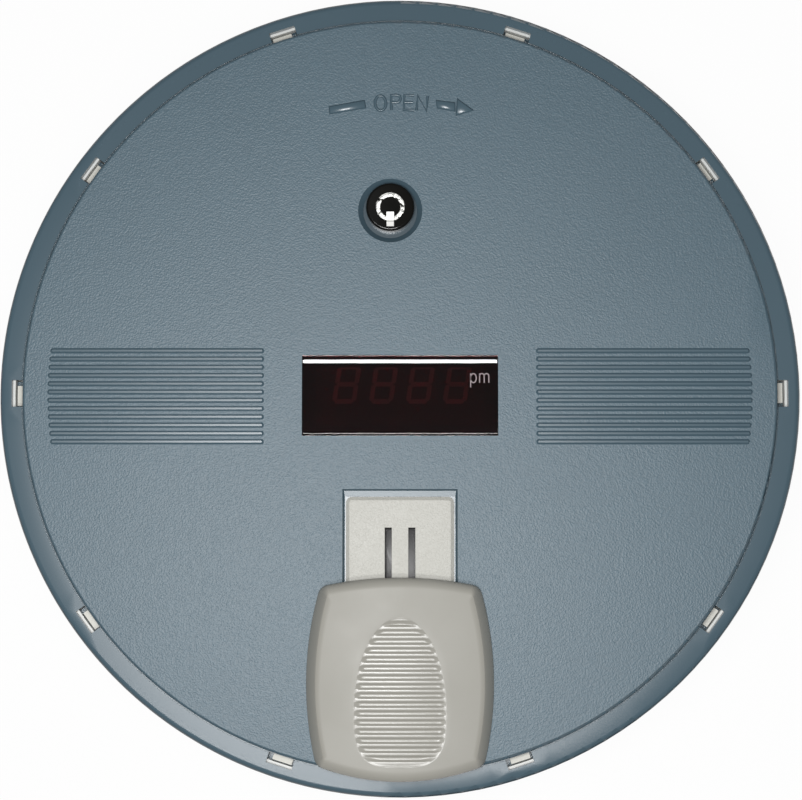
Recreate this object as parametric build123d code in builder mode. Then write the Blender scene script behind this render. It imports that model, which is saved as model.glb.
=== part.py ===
"""Automatic pill dispenser: a round base, a carousel tray of 28 compartments and a twist-off lid with a door.

Millimetres. +Z is up and z = 0 is the table under the rubber feet. The carousel turns about Z, the
dispensing door faces -Y and the key lock stands towards +Y. At rest the lid is closed, the door is shut
and the lock is in its key-pull position.
"""

import math
import os

from build123d import *

os.makedirs("parts", exist_ok=True)

# ---------------------------------------------------------------- clearances
sliding_gap = 0.3  # between pieces that move past each other
running_gap = 0.05  # between a shaft and its bore
seat_gap = 0.1  # between pieces that rest on each other
joint_gap = 0.05  # between mouldings that are welded together

# ---------------------------------------------------------------- gears
gear_module = 1.5
pressure_angle = 20.0
ring_teeth = 106
pinion_teeth = 16
ring_tip_relief = 0.35
root_clearance = 0.4
ring_backlash = 0.12
pinion_backlash = 0.30
ring_gear_height = 6.0
ring_gear_wall = 4.6
pinion_azimuth = 30.0
pinion_height = 6.0

# ---------------------------------------------------------------- carousel tray
compartments = 28
compartment_length = 34.9
compartment_depth = 24.6
tray_wall = 1.5
divider_thickness = 1.2
tray_floor_thickness = 1.8
tray_floor_chamfer = 0.6
tray_side_gap = 1.9
tray_lid_gap = 0.8

# ---------------------------------------------------------------- base tub
foot_height = 2.0
foot_radius = 8.0
foot_recess = 1.0
foot_inset = 19.5
foot_count = 4
tub_wall = 2.3
tub_floor = 2.4
tub_draft = 3.0
tub_corner = 4.6
floor_rim_height = 2.6  # from the tub's floor to where its wall is welded on
neck_wall = 2.2
flange_thickness = 2.2
flange_inset = 0.8
gear_lift = 8.8  # from the tub's floor to the ring gear
track_rib_width = 2.5
track_rib_inset = 1.6
outer_rib_width = 2.0
outer_rib_inset = 18.0

# ---------------------------------------------------------------- bayonet
tab_count = 10
tab_reach = 3.4
tab_length = 6.5
tab_height = 2.6
tab_drop = 1.7
tab_lead = 0.5  # how far each tab sits off the middle of its window, against the opening turn
lug_length = 8.7
lug_thickness = 2.1
lug_neck_gap = 0.7

# ---------------------------------------------------------------- lid
skirt_wall = 2.5
skirt_reach = 2.6
rim_round = 2.0
rim_thickness = 2.7
plate_overlap = 0.8
plate_step = 2.2
plate_thickness = 2.8
plate_round = 1.0
neck_gap = 0.4
seam_width = 0.6
window_depth = 3.4
window_overhang = 0.3  # how far each bayonet window cuts into the seam
window_length = 8.7
rib_count = 12
rib_pitch = 2.68
rib_width = 1.8
rib_height = 0.6
rib_inner_x = 44.0
rib_edge_margin = 8.2
rib_centre_y = -1.1
rib_corner = 0.85
rib_draft = 45.0
ring_gap = 0.4  # between the bayonet tabs and the glide ring
ring_wall = 1.9
ring_height = 3.4

# ---------------------------------------------------------------- display window and lens
display_window_x = 63.5
display_window_y = 26.3
display_window_middle_y = -0.8
lens_flange = 1.8
lens_flange_thickness = 1.5
lens_rise = 1.3
lens_bevel = 0.9
lens_gap = 0.25

# ---------------------------------------------------------------- sliding door
door_length = 64.3
door_overhang = 1.6
door_back_half_width = 25.6
door_back_crown = 2.8
door_half_width = 30.0
door_widest = 34.5  # ahead of the door's front edge
door_front_half_width = 26.9
door_front_crown = 4.8
door_height = 8.2
door_crown_radius = 150.0
door_edge_round = 2.6
door_corner_round = 4.0
door_wall = 1.8
door_travel = 25.0
grip_widest = 24.6  # ahead of the door's front edge
grip_half_width = 14.7
grip_back_length = 27.2
grip_front_length = 20.1
grip_depth = 0.9
grip_rib_count = 16
grip_rib_pitch = 2.92
grip_rib_width = 1.5
grip_rib_start = 6.2  # ahead of the door's front edge
grip_rib_margin = 0.6
shutter_thickness = 1.2
blade_width = 1.8
blade_length = 4.0
blade_set = 11.4
blade_spacing = 7.6
blade_stop_gap = 0.5
stake_width = 3.2
stake_height = 0.8
retainer_x = 15.0
retainer_thickness = 1.6
retainer_margin = 2.4
retainer_corner = 1.0

# ---------------------------------------------------------------- door track and outlet
slot_width = 2.3
track_x = 37.2
track_back_margin = 12.4
track_front_margin = 1.5
track_depth = 2.4
track_floor = 2.0
track_plate_side_gap = 1.15
track_plate_back_gap = 2.5
track_plate_front_gap = 0.4
track_plate_thickness = 1.8
track_plate_bevel = 0.8
track_plate_bevel_width = 1.1
track_plate_corner = 2.0
outlet_x = 21.0
outlet_length = 19.0
outlet_corner = 2.5

# ---------------------------------------------------------------- lock
lock_x = -3.2
lock_y = 60.4
dish_radius = 10.45
dish_floor_radius = 8.8
dish_offset = 0.9  # from the lock's axis towards the door
dish_depth = 1.9
dish_floor = 2.4
dish_wall = 2.05
lock_face_radius = 7.85
lock_face_height = 4.0
lock_face_round = 0.8
barrel_radius = 6.3
barrel_length = 8.9
keyway_outer_radius = 4.65
post_radius = 3.33
keyway_depth = 3.5
notch_width = 2.4
post_notch_start = 1.6
face_notch_end = 6.4
notch_insert_drop = 0.5
post_drop = 0.25
nib_gap = 0.25
pin_count = 7
pin_radius = 0.55
pin_height = 0.7
nut_flats = 15.0
nut_thickness = 3.2
tail_radius = 2.5
tail_length = 1.6
cam_thickness = 1.4
cam_width = 8.0
cam_hub_radius = 4.8
cam_reach = 14.0
cam_corner = 2.0
cam_screw_head_radius = 3.2
cam_screw_head = 1.5
cam_screw_radius = 1.2
cam_screw_length = 3.4

# ---------------------------------------------------------------- hub cover
hub_gear_gap = 0.7
hub_wall = 1.8
deck_thickness = 2.0
island_radius = 40.0
island_wall = 2.0
island_thickness = 2.0
island_round = 1.5
led_proud = 3.2  # how far the display stands out of the island
hub_screw_azimuths = (120.0, 180.0, 239.0, 340.0)
gear_window_width = 26.0
keeper_thickness = 3.0
keeper_height = 4.8
keeper_end_gap = 0.8
keeper_side_gap = 0.5
lead_slot = 5.0

# ---------------------------------------------------------------- screws and their pillars
pillar_radius = 3.5
pillar_wall_gap = 2.0
screw_radius = 1.5
screw_head_radius = 2.9
screw_head_height = 1.8
screw_depth = 8.0
screw_tip_gap = 1.0

# ---------------------------------------------------------------- drive
shaft_radius = 1.5
shaft_bearing_depth = 4.6
shaft_depth_in_case = 7.0
shaft_boss_radius = 4.0
case_length = 32.0
case_width = 28.0
case_corner = 2.0
case_end_margin = 4.6
case_lift = 0.8
case_deck_gap = 0.5
ear_length = 7.0
ear_thickness = 2.8
ear_width = 10.0
motor_radius = 8.0
motor_length = 22.0
motor_cap_length = 2.0
motor_cap_radius = 3.0

# ---------------------------------------------------------------- display and buttons
led_x = 56.0
led_y = 20.0
led_height = 8.0
led_lens_gap = 0.7
led_chamfer = 0.4
board_thickness = 1.6
board_edge_gap = 2.0
board_boss_radius = 2.5
board_boss_inset = 3.0
board_boss_azimuths = (20.0, 160.0, 200.0, 340.0)
board_screw_length = 3.2
board_screw_head = 0.9
button_names = ("hour_button", "minute_button", "alarm_button", "tray_button")
button_pitch = 15.0
button_y = -22.0
button_radius = 3.4
button_rise = 1.6
button_chamfer = 0.4
button_flange_radius = 4.4
button_flange_thickness = 0.6
button_travel = 0.6
stem_radius = 1.6
switch_size = 6.0

# ---------------------------------------------------------------- batteries and main board
cell_count = 4
cell_radius = 7.15
cell_length = 49.3
cell_tip_radius = 2.7
cell_tip_length = 1.0
cell_pitch = 14.8
cell_side_gap = 0.4
cell_end_gap = 0.2
contact_size = 8.0
contact_corner = 1.0
contact_thickness = 0.8
holder_wall = 1.5
holder_hub_gap = 3.2
pad_thickness = 1.8  # of the floor over the battery door's channel
battery_door_thickness = 1.8
battery_door_lip = 1.6
battery_door_lip_thickness = 0.9
battery_door_margin = 1.4
battery_door_travel = 15.0
battery_door_end_gap = 1.0
grip_groove_count = 5
grip_groove_pitch = 3.0
grip_groove_width = 1.5
grip_groove_length = 18.0
grip_groove_depth = 0.6
standoff_radius = 2.5
standoff_height = 2.5
standoff_inset = 5.0
main_board_x = 54.0
main_board_y = 54.0
main_board_corner = 2.0
chip_size = 14.0
chip_height = 2.0
capacitor_radius = 3.5
capacitor_height = 4.5
capacitor_spacing = 21.6
capacitor_x = -18.0
connector_x = 18.0
connector_y = 5.0
connector_height = 4.0
connector_inset = 9.0

# ---------------------------------------------------------------- small parts on the floor
buzzer_x = -46.0
buzzer_y = 28.0
buzzer_radius = 15.0
buzzer_height = 8.0
buzzer_round = 1.0
buzzer_mouth_radius = 9.4
buzzer_mouth_depth = 4.0
sound_hole_radius = 1.2
sound_hole_circle = 7.0
sound_hole_count = 6
jack_width = 9.0
jack_height = 10.0
jack_length = 13.0
jack_hole_radius = 3.1
jack_bore_radius = 2.9
jack_bore_depth = 9.5
jack_pin_radius = 1.0
jack_pad_height = 0.9
jack_wall_gap = 0.8
lead_radius = 1.1
lead_rise = 14.0
lead_bend = 3.3
lead_hub_gap = 9.5
sensor_x = 8.0
sensor_y = 10.0
sensor_height = 8.6
sensor_slot_x = 2.7
sensor_slot_depth = 4.3

# ---------------------------------------------------------------- radii, from the axis outwards
ring_pitch_radius = gear_module * ring_teeth / 2
ring_tip_radius = ring_pitch_radius - gear_module + ring_tip_relief
ring_root_radius = ring_pitch_radius + gear_module + root_clearance
ring_gear_outer_radius = ring_root_radius + ring_gear_wall
pinion_pitch_radius = gear_module * pinion_teeth / 2
pinion_tip_radius = pinion_pitch_radius + gear_module
pinion_root_radius = pinion_pitch_radius - gear_module - root_clearance
pinion_circle = ring_pitch_radius - pinion_pitch_radius
hub_radius = ring_pitch_radius - gear_module - hub_gear_gap
hub_inner_radius = hub_radius - hub_wall
hub_screw_circle = hub_inner_radius - pillar_wall_gap - pillar_radius
tray_inner_radius = ring_pitch_radius
compartment_inner_radius = tray_inner_radius + tray_wall
compartment_outer_radius = compartment_inner_radius + compartment_length
tray_outer_radius = compartment_outer_radius + tray_wall
neck_inner_radius = tray_outer_radius + tray_side_gap
neck_radius = neck_inner_radius + neck_wall
tub_bottom_radius = neck_radius - tub_draft
tub_inner_bottom_radius = tub_bottom_radius - tub_wall
foot_circle = tub_bottom_radius - foot_inset
track_rib_inner = ring_root_radius + track_rib_inset
outer_rib_inner = tray_outer_radius - outer_rib_inset
sensor_circle = (track_rib_inner + track_rib_width + outer_rib_inner) / 2
tab_outer_radius = neck_radius + tab_reach
ring_inner_radius = tab_outer_radius + ring_gap
ring_outer_radius = ring_inner_radius + ring_wall
skirt_inner_radius = ring_outer_radius + sliding_gap
rim_radius = skirt_inner_radius + skirt_wall
flange_radius = rim_radius - flange_inset
plate_radius = neck_radius + plate_overlap
seam_outer_radius = plate_radius + seam_width
window_middle_radius = seam_outer_radius - window_overhang + window_depth / 2
lug_root_radius = skirt_inner_radius + skirt_wall / 4
lug_tip_radius = neck_radius + lug_neck_gap
rib_outer_radius = plate_radius - rib_edge_margin

# ---------------------------------------------------------------- heights, from the table upwards
tub_floor_top = foot_height + tub_floor
pad_top = tub_floor_top + pad_thickness
ring_gear_bottom = tub_floor_top + gear_lift
tray_floor_bottom = ring_gear_bottom + ring_gear_height
tray_floor_top = tray_floor_bottom + tray_floor_thickness
tray_top = tray_floor_top + compartment_depth
plate_underside = tray_top + tray_lid_gap
plate_top = plate_underside + plate_thickness
rim_top = plate_top - plate_step
rim_underside = rim_top - rim_thickness
neck_top = rim_underside - neck_gap
tab_top = neck_top - tab_drop
tab_bottom = tab_top - tab_height
lug_top = tab_bottom - sliding_gap
skirt_bottom = lug_top - lug_thickness - skirt_reach
flange_top = skirt_bottom - neck_gap
flange_bottom = flange_top - flange_thickness
wall_foot_z = tub_floor_top + floor_rim_height
wall_foot_radius = neck_radius - tub_draft * (flange_bottom - wall_foot_z) / (flange_bottom - foot_height)
wall_draft_inside = neck_inner_radius - tub_inner_bottom_radius
wall_foot_share = (flange_bottom - wall_foot_z) / (flange_bottom - tub_floor_top)
wall_foot_inner_radius = neck_inner_radius - wall_draft_inside * wall_foot_share
track_floor_top = plate_top - track_depth
track_underside = track_floor_top - track_floor
door_bottom = plate_top + sliding_gap
door_top = door_bottom + door_height
retainer_top = track_underside - sliding_gap
retainer_bottom = retainer_top - retainer_thickness
stake_bottom = retainer_bottom - stake_height
dish_floor_top = plate_top - dish_depth
dish_underside = dish_floor_top - dish_floor
lock_face_top = dish_floor_top + lock_face_height
keyway_floor = lock_face_top - keyway_depth
barrel_bottom = dish_floor_top - barrel_length
tail_bottom = barrel_bottom - tail_length
cam_bottom = tail_bottom + (tail_length - cam_thickness) / 2
cam_screw_bottom = tail_bottom - cam_screw_head
led_top = plate_underside - lens_flange_thickness - led_lens_gap
display_board_top = led_top - led_height
display_board_bottom = display_board_top - board_thickness
island_top = led_top - led_proud
island_underside = island_top - island_thickness
button_flange_top = island_underside - seat_gap
button_flange_bottom = button_flange_top - button_flange_thickness
switch_height = button_flange_bottom - button_travel - seat_gap - display_board_top
stem_length = button_flange_bottom - button_travel - sliding_gap - display_board_top
deck_top = cam_screw_bottom - sliding_gap - screw_head_height
deck_underside = deck_top - deck_thickness
pinion_top = tray_floor_bottom - sliding_gap
pinion_bottom = pinion_top - pinion_height
shaft_bottom = pinion_bottom - sliding_gap - shaft_bearing_depth
case_bottom = pinion_top + case_lift
case_height = deck_underside - case_deck_gap - case_bottom
ear_top = case_bottom + ear_thickness
motor_axis_z = case_bottom + case_height - motor_radius - seat_gap
battery_door_bottom = foot_height + 2 * seat_gap
battery_door_top = battery_door_bottom + battery_door_thickness
battery_channel_top = battery_door_top + 2 * seat_gap
cell_axis_z = battery_channel_top + seat_gap + cell_radius
holder_ceiling = cell_axis_z + cell_radius + cell_side_gap
holder_top = holder_ceiling + holder_wall
main_board_bottom = holder_top + standoff_height
main_board_top = main_board_bottom + board_thickness
jack_centre_z = tub_floor_top + jack_pad_height + seat_gap + jack_height / 2
lead_z = tub_floor_top + seat_gap + lead_radius

# ---------------------------------------------------------------- places along Y and across the cover
door_front_y = -(plate_radius + door_overhang)
door_back_y = door_front_y + door_length
grip_widest_y = door_front_y + grip_widest
blade_middle_y = door_back_y - blade_set
slot_back_y = blade_middle_y + blade_length / 2 + blade_stop_gap + door_travel
slot_front_y = blade_middle_y - blade_length / 2 - blade_stop_gap
slot_middle_y = (slot_back_y + slot_front_y) / 2
slot_length = slot_back_y - slot_front_y
track_back_y = slot_back_y + track_back_margin
track_front_y = slot_front_y - track_front_margin
track_middle_y = (track_back_y + track_front_y) / 2
track_y = track_back_y - track_front_y
track_plate_back_y = track_back_y - track_plate_back_gap
track_plate_front_y = track_front_y + track_plate_front_gap
outlet_front_y = -(tray_outer_radius + seat_gap)
outlet_middle_y = outlet_front_y + outlet_length / 2
keeper_x = lock_x + cam_width / 2 + keeper_side_gap + keeper_thickness / 2
keeper_back_y = lock_y + cam_hub_radius + keeper_end_gap
keeper_front_y = lock_y + cam_reach - keeper_side_gap
display_board_radius = island_radius - island_wall - board_edge_gap
board_boss_circle = display_board_radius - board_boss_inset
holder_inner_x = cell_length + cell_tip_length + 2 * (contact_thickness + cell_end_gap)
holder_half_x = holder_inner_x / 2 + holder_wall
holder_front_y = -(math.sqrt(hub_inner_radius**2 - holder_half_x**2) - holder_hub_gap)
holder_inner_front_y = holder_front_y + holder_wall
cell_last_y = holder_inner_front_y + cell_side_gap + cell_radius
cell_first_y = cell_last_y + (cell_count - 1) * cell_pitch
holder_inner_back_y = cell_first_y + cell_radius + cell_side_gap
holder_inner_y = holder_inner_back_y - holder_inner_front_y
holder_middle_y = (holder_inner_back_y + holder_inner_front_y) / 2
battery_door_back_y = holder_inner_back_y + battery_door_margin + battery_door_lip
battery_door_front_y = holder_inner_front_y - battery_door_margin - battery_door_lip
battery_door_middle_y = (battery_door_back_y + battery_door_front_y) / 2
battery_door_y = battery_door_back_y - battery_door_front_y
battery_door_half_x = holder_inner_x / 2 + battery_door_margin + battery_door_lip
channel_back_y = battery_door_back_y + sliding_gap
channel_front_y = battery_door_front_y - battery_door_travel - battery_door_end_gap
channel_middle_y = (channel_back_y + channel_front_y) / 2
channel_y = channel_back_y - channel_front_y
channel_half_x = battery_door_half_x + sliding_gap
case_middle_radius = pinion_circle + case_end_margin - case_length / 2
case_back_radius = case_middle_radius - case_length / 2
ear_offset = case_width / 2 + ear_length / 2
jack_back_y = tub_inner_bottom_radius - jack_wall_gap
jack_front_y = jack_back_y - jack_length
lead_inner_y = hub_inner_radius - lead_hub_gap


def finish(piece: BuildPart, name: str) -> None:
    """Labels a finished piece and writes it as its own STEP file."""
    piece.part.label = name
    export_step(piece.part, f"parts/{name}.step")


def ring_edges(piece: BuildPart, radius: float, height: float) -> ShapeList:
    """The circular edges about Z of one radius at one height."""
    return piece.edges().filter_by(
        lambda edge: edge.geom_type == GeomType.CIRCLE
        and abs(edge.radius - radius) < 0.01
        and abs(edge.arc_center.Z - height) < 0.01
    )


def polar(radius: float, azimuth: float) -> tuple[float, float]:
    """The X and Y of a point at that distance from the carousel's axis."""
    return (radius * math.cos(math.radians(azimuth)), radius * math.sin(math.radians(azimuth)))


def level(height: float) -> Plane:
    """The horizontal plane at that height."""
    return Plane.XY.offset(height)


def drive_level(height: float) -> Plane:
    """The horizontal plane at that height whose X runs from the axis through the pinion."""
    return Plane(origin=(0, 0, height), x_dir=(*polar(1, pinion_azimuth), 0), z_dir=(0, 0, 1))


def lock_level(height: float) -> Plane:
    """The horizontal plane at that height whose origin is on the lock's axis."""
    return Plane(origin=(lock_x, lock_y, height), x_dir=(1, 0, 0), z_dir=(0, 0, 1))


hub_screw_places = [polar(hub_screw_circle, azimuth) for azimuth in hub_screw_azimuths]
board_boss_places = [polar(board_boss_circle, azimuth) for azimuth in board_boss_azimuths]
ear_places = [(case_middle_radius, -ear_offset), (case_middle_radius, ear_offset)]
foot_start = 180 / foot_count

# ================================================================ base
with BuildPart() as base_floor:
    with BuildSketch(Plane.XZ):
        with BuildLine():
            Polyline(
                (0, foot_height),
                (tub_bottom_radius, foot_height),
                (wall_foot_radius, wall_foot_z),
                (wall_foot_inner_radius, wall_foot_z),
                (tub_inner_bottom_radius, tub_floor_top),
                (0, tub_floor_top),
                close=True,
            )
        make_face()
    revolve(axis=Axis.Z)
    fillet(ring_edges(base_floor, tub_bottom_radius, foot_height), radius=tub_corner)
    fillet(ring_edges(base_floor, tub_inner_bottom_radius, tub_floor_top), radius=tub_corner - tub_wall)
    # the two circular ribs that the carousel runs on
    with BuildSketch(level(tub_floor_top)):
        Circle(track_rib_inner + track_rib_width)
        Circle(track_rib_inner, mode=Mode.SUBTRACT)
    extrude(amount=ring_gear_bottom - seat_gap - tub_floor_top)
    with BuildSketch(level(tub_floor_top)):
        Circle(outer_rib_inner + outer_rib_width)
        Circle(outer_rib_inner, mode=Mode.SUBTRACT)
    extrude(amount=tray_floor_bottom - seat_gap - tub_floor_top)
    # a thicker floor over the battery door's channel, and a low pad under the power jack
    with BuildSketch(level(tub_floor_top)):
        with Locations((0, channel_middle_y)):
            Rectangle(2 * channel_half_x + 2 * tub_wall, channel_y + 2 * tub_wall)
    extrude(amount=pad_thickness)
    with BuildSketch(level(tub_floor_top)):
        with Locations((0, (jack_back_y + jack_front_y) / 2)):
            Rectangle(jack_width, jack_length)
    extrude(amount=jack_pad_height)
    # the battery opening and the stepped channel that its sliding door runs in
    with BuildSketch(level(foot_height)):
        with Locations((0, holder_middle_y)):
            Rectangle(holder_inner_x, holder_inner_y)
    extrude(amount=pad_top - foot_height, mode=Mode.SUBTRACT)
    with BuildSketch(level(foot_height)):
        with Locations((0, channel_middle_y)):
            Rectangle(2 * (channel_half_x - battery_door_lip), channel_y)
    extrude(amount=battery_channel_top - foot_height, mode=Mode.SUBTRACT)
    with BuildSketch(level(battery_channel_top)):
        with Locations((0, channel_middle_y)):
            Rectangle(2 * channel_half_x, channel_y)
    extrude(amount=-(battery_door_lip_thickness + 3 * seat_gap), mode=Mode.SUBTRACT)
    # recesses for the feet and the buzzer's sound holes
    with BuildSketch(level(foot_height)):
        with PolarLocations(foot_circle, foot_count, start_angle=foot_start):
            Circle(foot_radius)
    extrude(amount=foot_recess, mode=Mode.SUBTRACT)
    with BuildSketch(level(foot_height)):
        with Locations((buzzer_x, buzzer_y)):
            Circle(sound_hole_radius)
            with PolarLocations(sound_hole_circle, sound_hole_count):
                Circle(sound_hole_radius)
    extrude(amount=tub_floor, mode=Mode.SUBTRACT)
    # a gap in both ribs for the power lead
    with BuildSketch(level(tub_floor_top)):
        with Locations((0, (track_rib_inner + outer_rib_inner) / 2)):
            Rectangle(lead_slot, outer_rib_inner - track_rib_inner + 2 * track_rib_width + outer_rib_width)
    extrude(amount=lead_slot, mode=Mode.SUBTRACT)
finish(base_floor, "base_floor")

# screw pillars for the hub cover and the gearbox, and the pinion shaft's lower bearing
with BuildPart() as base_pillars:
    with BuildSketch(level(tub_floor_top + joint_gap)):
        with Locations(*hub_screw_places):
            Circle(pillar_radius)
    extrude(amount=deck_underside - tub_floor_top - 2 * joint_gap)
    with BuildSketch(drive_level(tub_floor_top + joint_gap)):
        with Locations(*ear_places):
            Circle(pillar_radius)
    extrude(amount=case_bottom - tub_floor_top - 2 * joint_gap)
    with BuildSketch(drive_level(tub_floor_top + joint_gap)):
        with Locations((pinion_circle, 0)):
            Circle(shaft_boss_radius)
    extrude(amount=pinion_bottom - sliding_gap - tub_floor_top)
    with BuildSketch(level(deck_underside)):
        with Locations(*hub_screw_places):
            Circle(screw_radius)
    extrude(amount=-screw_depth, mode=Mode.SUBTRACT)
    with BuildSketch(drive_level(case_bottom)):
        with Locations(*ear_places):
            Circle(screw_radius)
    extrude(amount=-screw_depth, mode=Mode.SUBTRACT)
    with BuildSketch(drive_level(shaft_bottom - sliding_gap)):
        with Locations((pinion_circle, 0)):
            Circle(shaft_radius + running_gap)
    extrude(amount=pinion_bottom, mode=Mode.SUBTRACT)
finish(base_pillars, "base_pillars")

with BuildPart() as base_wall:
    with BuildSketch(Plane.XZ):
        with BuildLine():
            Polyline(
                (wall_foot_inner_radius, wall_foot_z + joint_gap),
                (wall_foot_radius, wall_foot_z + joint_gap),
                (neck_radius, flange_bottom - joint_gap),
                (neck_inner_radius, flange_bottom - joint_gap),
                close=True,
            )
        make_face()
    revolve(axis=Axis.Z)
    # the hole for the power jack
    with BuildSketch(Plane.XZ.offset(-jack_back_y)):
        with Locations((0, jack_centre_z)):
            Circle(jack_hole_radius)
    extrude(amount=jack_back_y - rim_radius, mode=Mode.SUBTRACT)
finish(base_wall, "base_wall")

with BuildPart() as base_rim:
    with BuildSketch(Plane.XZ):
        with BuildLine():
            Polyline(
                (neck_inner_radius, flange_bottom),
                (flange_radius, flange_bottom),
                (flange_radius, flange_top),
                (neck_radius, flange_top),
                (neck_radius, neck_top),
                (neck_inner_radius, neck_top),
                close=True,
            )
        make_face()
    revolve(axis=Axis.Z)
    # the bayonet tabs that the lid's lugs hook under
    with BuildSketch(level(tab_bottom)):
        with PolarLocations((neck_inner_radius + neck_wall / 2 + tab_outer_radius) / 2, tab_count):
            with Locations((0, tab_lead)):
                Rectangle(tab_outer_radius - neck_inner_radius - neck_wall / 2, tab_length)
    extrude(amount=tab_height)
finish(base_rim, "base_rim")

with BuildPart() as rubber_feet:
    with BuildSketch():
        with PolarLocations(foot_circle, foot_count, start_angle=foot_start):
            Circle(foot_radius - seat_gap)
    extrude(amount=foot_height + foot_recess)
    chamfer(rubber_feet.edges().filter_by(GeomType.CIRCLE).group_by(Axis.Z)[0], length=foot_height / 4)
finish(rubber_feet, "rubber_feet")

# ---------------------------------------------------------------- batteries
with BuildPart() as battery_door:
    with BuildSketch(level(battery_door_bottom)):
        with Locations((0, battery_door_middle_y)):
            Rectangle(2 * (battery_door_half_x - battery_door_lip), battery_door_y)
    extrude(amount=battery_door_thickness)
    with BuildSketch(level(battery_door_top)):
        with Locations((0, battery_door_middle_y)):
            Rectangle(2 * battery_door_half_x, battery_door_y)
    extrude(amount=-battery_door_lip_thickness)
    with BuildSketch(level(battery_door_bottom)):
        with Locations((0, battery_door_front_y + (grip_groove_count + 3) / 2 * grip_groove_pitch)):
            with GridLocations(1, grip_groove_pitch, 1, grip_groove_count):
                Rectangle(grip_groove_length, grip_groove_width)
    extrude(amount=grip_groove_depth, mode=Mode.SUBTRACT)
finish(battery_door, "battery_door")

with BuildPart() as battery_holder:
    with BuildSketch(level(pad_top)):
        with Locations((0, holder_middle_y)):
            Rectangle(2 * holder_half_x, holder_inner_y + 2 * holder_wall)
    extrude(amount=holder_top - pad_top)
    with BuildSketch(level(pad_top)):
        with Locations((0, holder_middle_y)):
            Rectangle(holder_inner_x, holder_inner_y)
    extrude(amount=holder_ceiling - pad_top, mode=Mode.SUBTRACT)
    with BuildSketch(level(holder_top)):
        with Locations((0, holder_middle_y)):
            with GridLocations(main_board_x - 2 * standoff_inset, main_board_y - 2 * standoff_inset, 2, 2):
                Circle(standoff_radius)
    extrude(amount=standoff_height)
finish(battery_holder, "battery_holder")

with BuildPart() as battery_cells:
    for index in range(cell_count):
        cell_way = 1 if index % 2 else -1
        tip_x = cell_way * (holder_inner_x / 2 - contact_thickness - cell_end_gap)
        cell_y = cell_first_y - index * cell_pitch
        with BuildSketch(Plane.YZ.offset(tip_x - cell_way * cell_tip_length)):
            with Locations((cell_y, cell_axis_z)):
                Circle(cell_radius)
        extrude(amount=-cell_way * cell_length)
        with BuildSketch(Plane.YZ.offset(tip_x)):
            with Locations((cell_y, cell_axis_z)):
                Circle(cell_tip_radius)
        extrude(amount=-cell_way * cell_tip_length)
finish(battery_cells, "battery_cells")

with BuildPart() as battery_contacts:
    for end_way in (-1, 1):
        with BuildSketch(Plane.YZ.offset(end_way * (holder_inner_x / 2 - contact_thickness))):
            with Locations((holder_middle_y, cell_axis_z)):
                with GridLocations(cell_pitch, 1, cell_count, 1):
                    RectangleRounded(contact_size, contact_size, contact_corner)
        extrude(amount=end_way * contact_thickness)
finish(battery_contacts, "battery_contacts")

# ---------------------------------------------------------------- boards
with BuildPart() as main_board:
    with BuildSketch(level(main_board_bottom)):
        with Locations((0, holder_middle_y)):
            RectangleRounded(main_board_x, main_board_y, main_board_corner)
    extrude(amount=board_thickness)
finish(main_board, "main_board")

with BuildPart() as board_components:
    with BuildSketch(level(main_board_top)):
        with Locations((0, holder_middle_y)):
            Rectangle(chip_size, chip_size)
    extrude(amount=chip_height)
    with BuildSketch(level(main_board_top)):
        with Locations((capacitor_x, holder_middle_y)):
            with GridLocations(1, capacitor_spacing, 1, 2):
                Circle(capacitor_radius)
    extrude(amount=capacitor_height)
    with BuildSketch(level(main_board_top)):
        with Locations((0, holder_middle_y + main_board_y / 2 - connector_inset)):
            Rectangle(connector_x, connector_y)
    extrude(amount=connector_height)
finish(board_components, "board_components")

with BuildPart() as display_board:
    with BuildSketch(level(display_board_bottom)):
        Circle(display_board_radius)
        with Locations(*board_boss_places):
            Circle(screw_radius - running_gap, mode=Mode.SUBTRACT)
    extrude(amount=board_thickness)
finish(display_board, "display_board")

with BuildPart() as display_board_screws:
    with BuildSketch(level(display_board_bottom)):
        with Locations(*board_boss_places):
            Circle(board_boss_radius)
    extrude(amount=-board_screw_head)
    with BuildSketch(level(display_board_bottom)):
        with Locations(*board_boss_places):
            Circle(screw_radius - 2 * running_gap)
    extrude(amount=board_screw_length)
finish(display_board_screws, "display_board_screws")

with BuildPart() as led_display:
    with BuildSketch(level(display_board_top)):
        with Locations((0, display_window_middle_y)):
            Rectangle(led_x, led_y)
    extrude(amount=led_height)
    chamfer(led_display.edges().group_by(Axis.Z)[-1], length=led_chamfer)
finish(led_display, "led_display")

with BuildPart() as key_switches:
    with BuildSketch(level(display_board_top)):
        with Locations((0, button_y)):
            with GridLocations(button_pitch, 1, len(button_names), 1):
                Rectangle(switch_size, switch_size)
                Circle(stem_radius + seat_gap, mode=Mode.SUBTRACT)
    extrude(amount=switch_height)
finish(key_switches, "key_switches")

for index, button_name in enumerate(button_names):
    button_x = (index - (len(button_names) - 1) / 2) * button_pitch
    with BuildPart() as setting_button:
        with BuildSketch(level(button_flange_bottom)):
            with Locations((button_x, button_y)):
                Circle(button_flange_radius)
        extrude(amount=button_flange_thickness)
        with BuildSketch(level(button_flange_top)):
            with Locations((button_x, button_y)):
                Circle(button_radius)
        extrude(amount=island_top + button_rise - button_flange_top)
        chamfer(setting_button.edges().group_by(Axis.Z)[-1], length=button_chamfer)
        with BuildSketch(level(button_flange_bottom)):
            with Locations((button_x, button_y)):
                Circle(stem_radius)
        extrude(amount=-stem_length)
    finish(setting_button, button_name)

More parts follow.
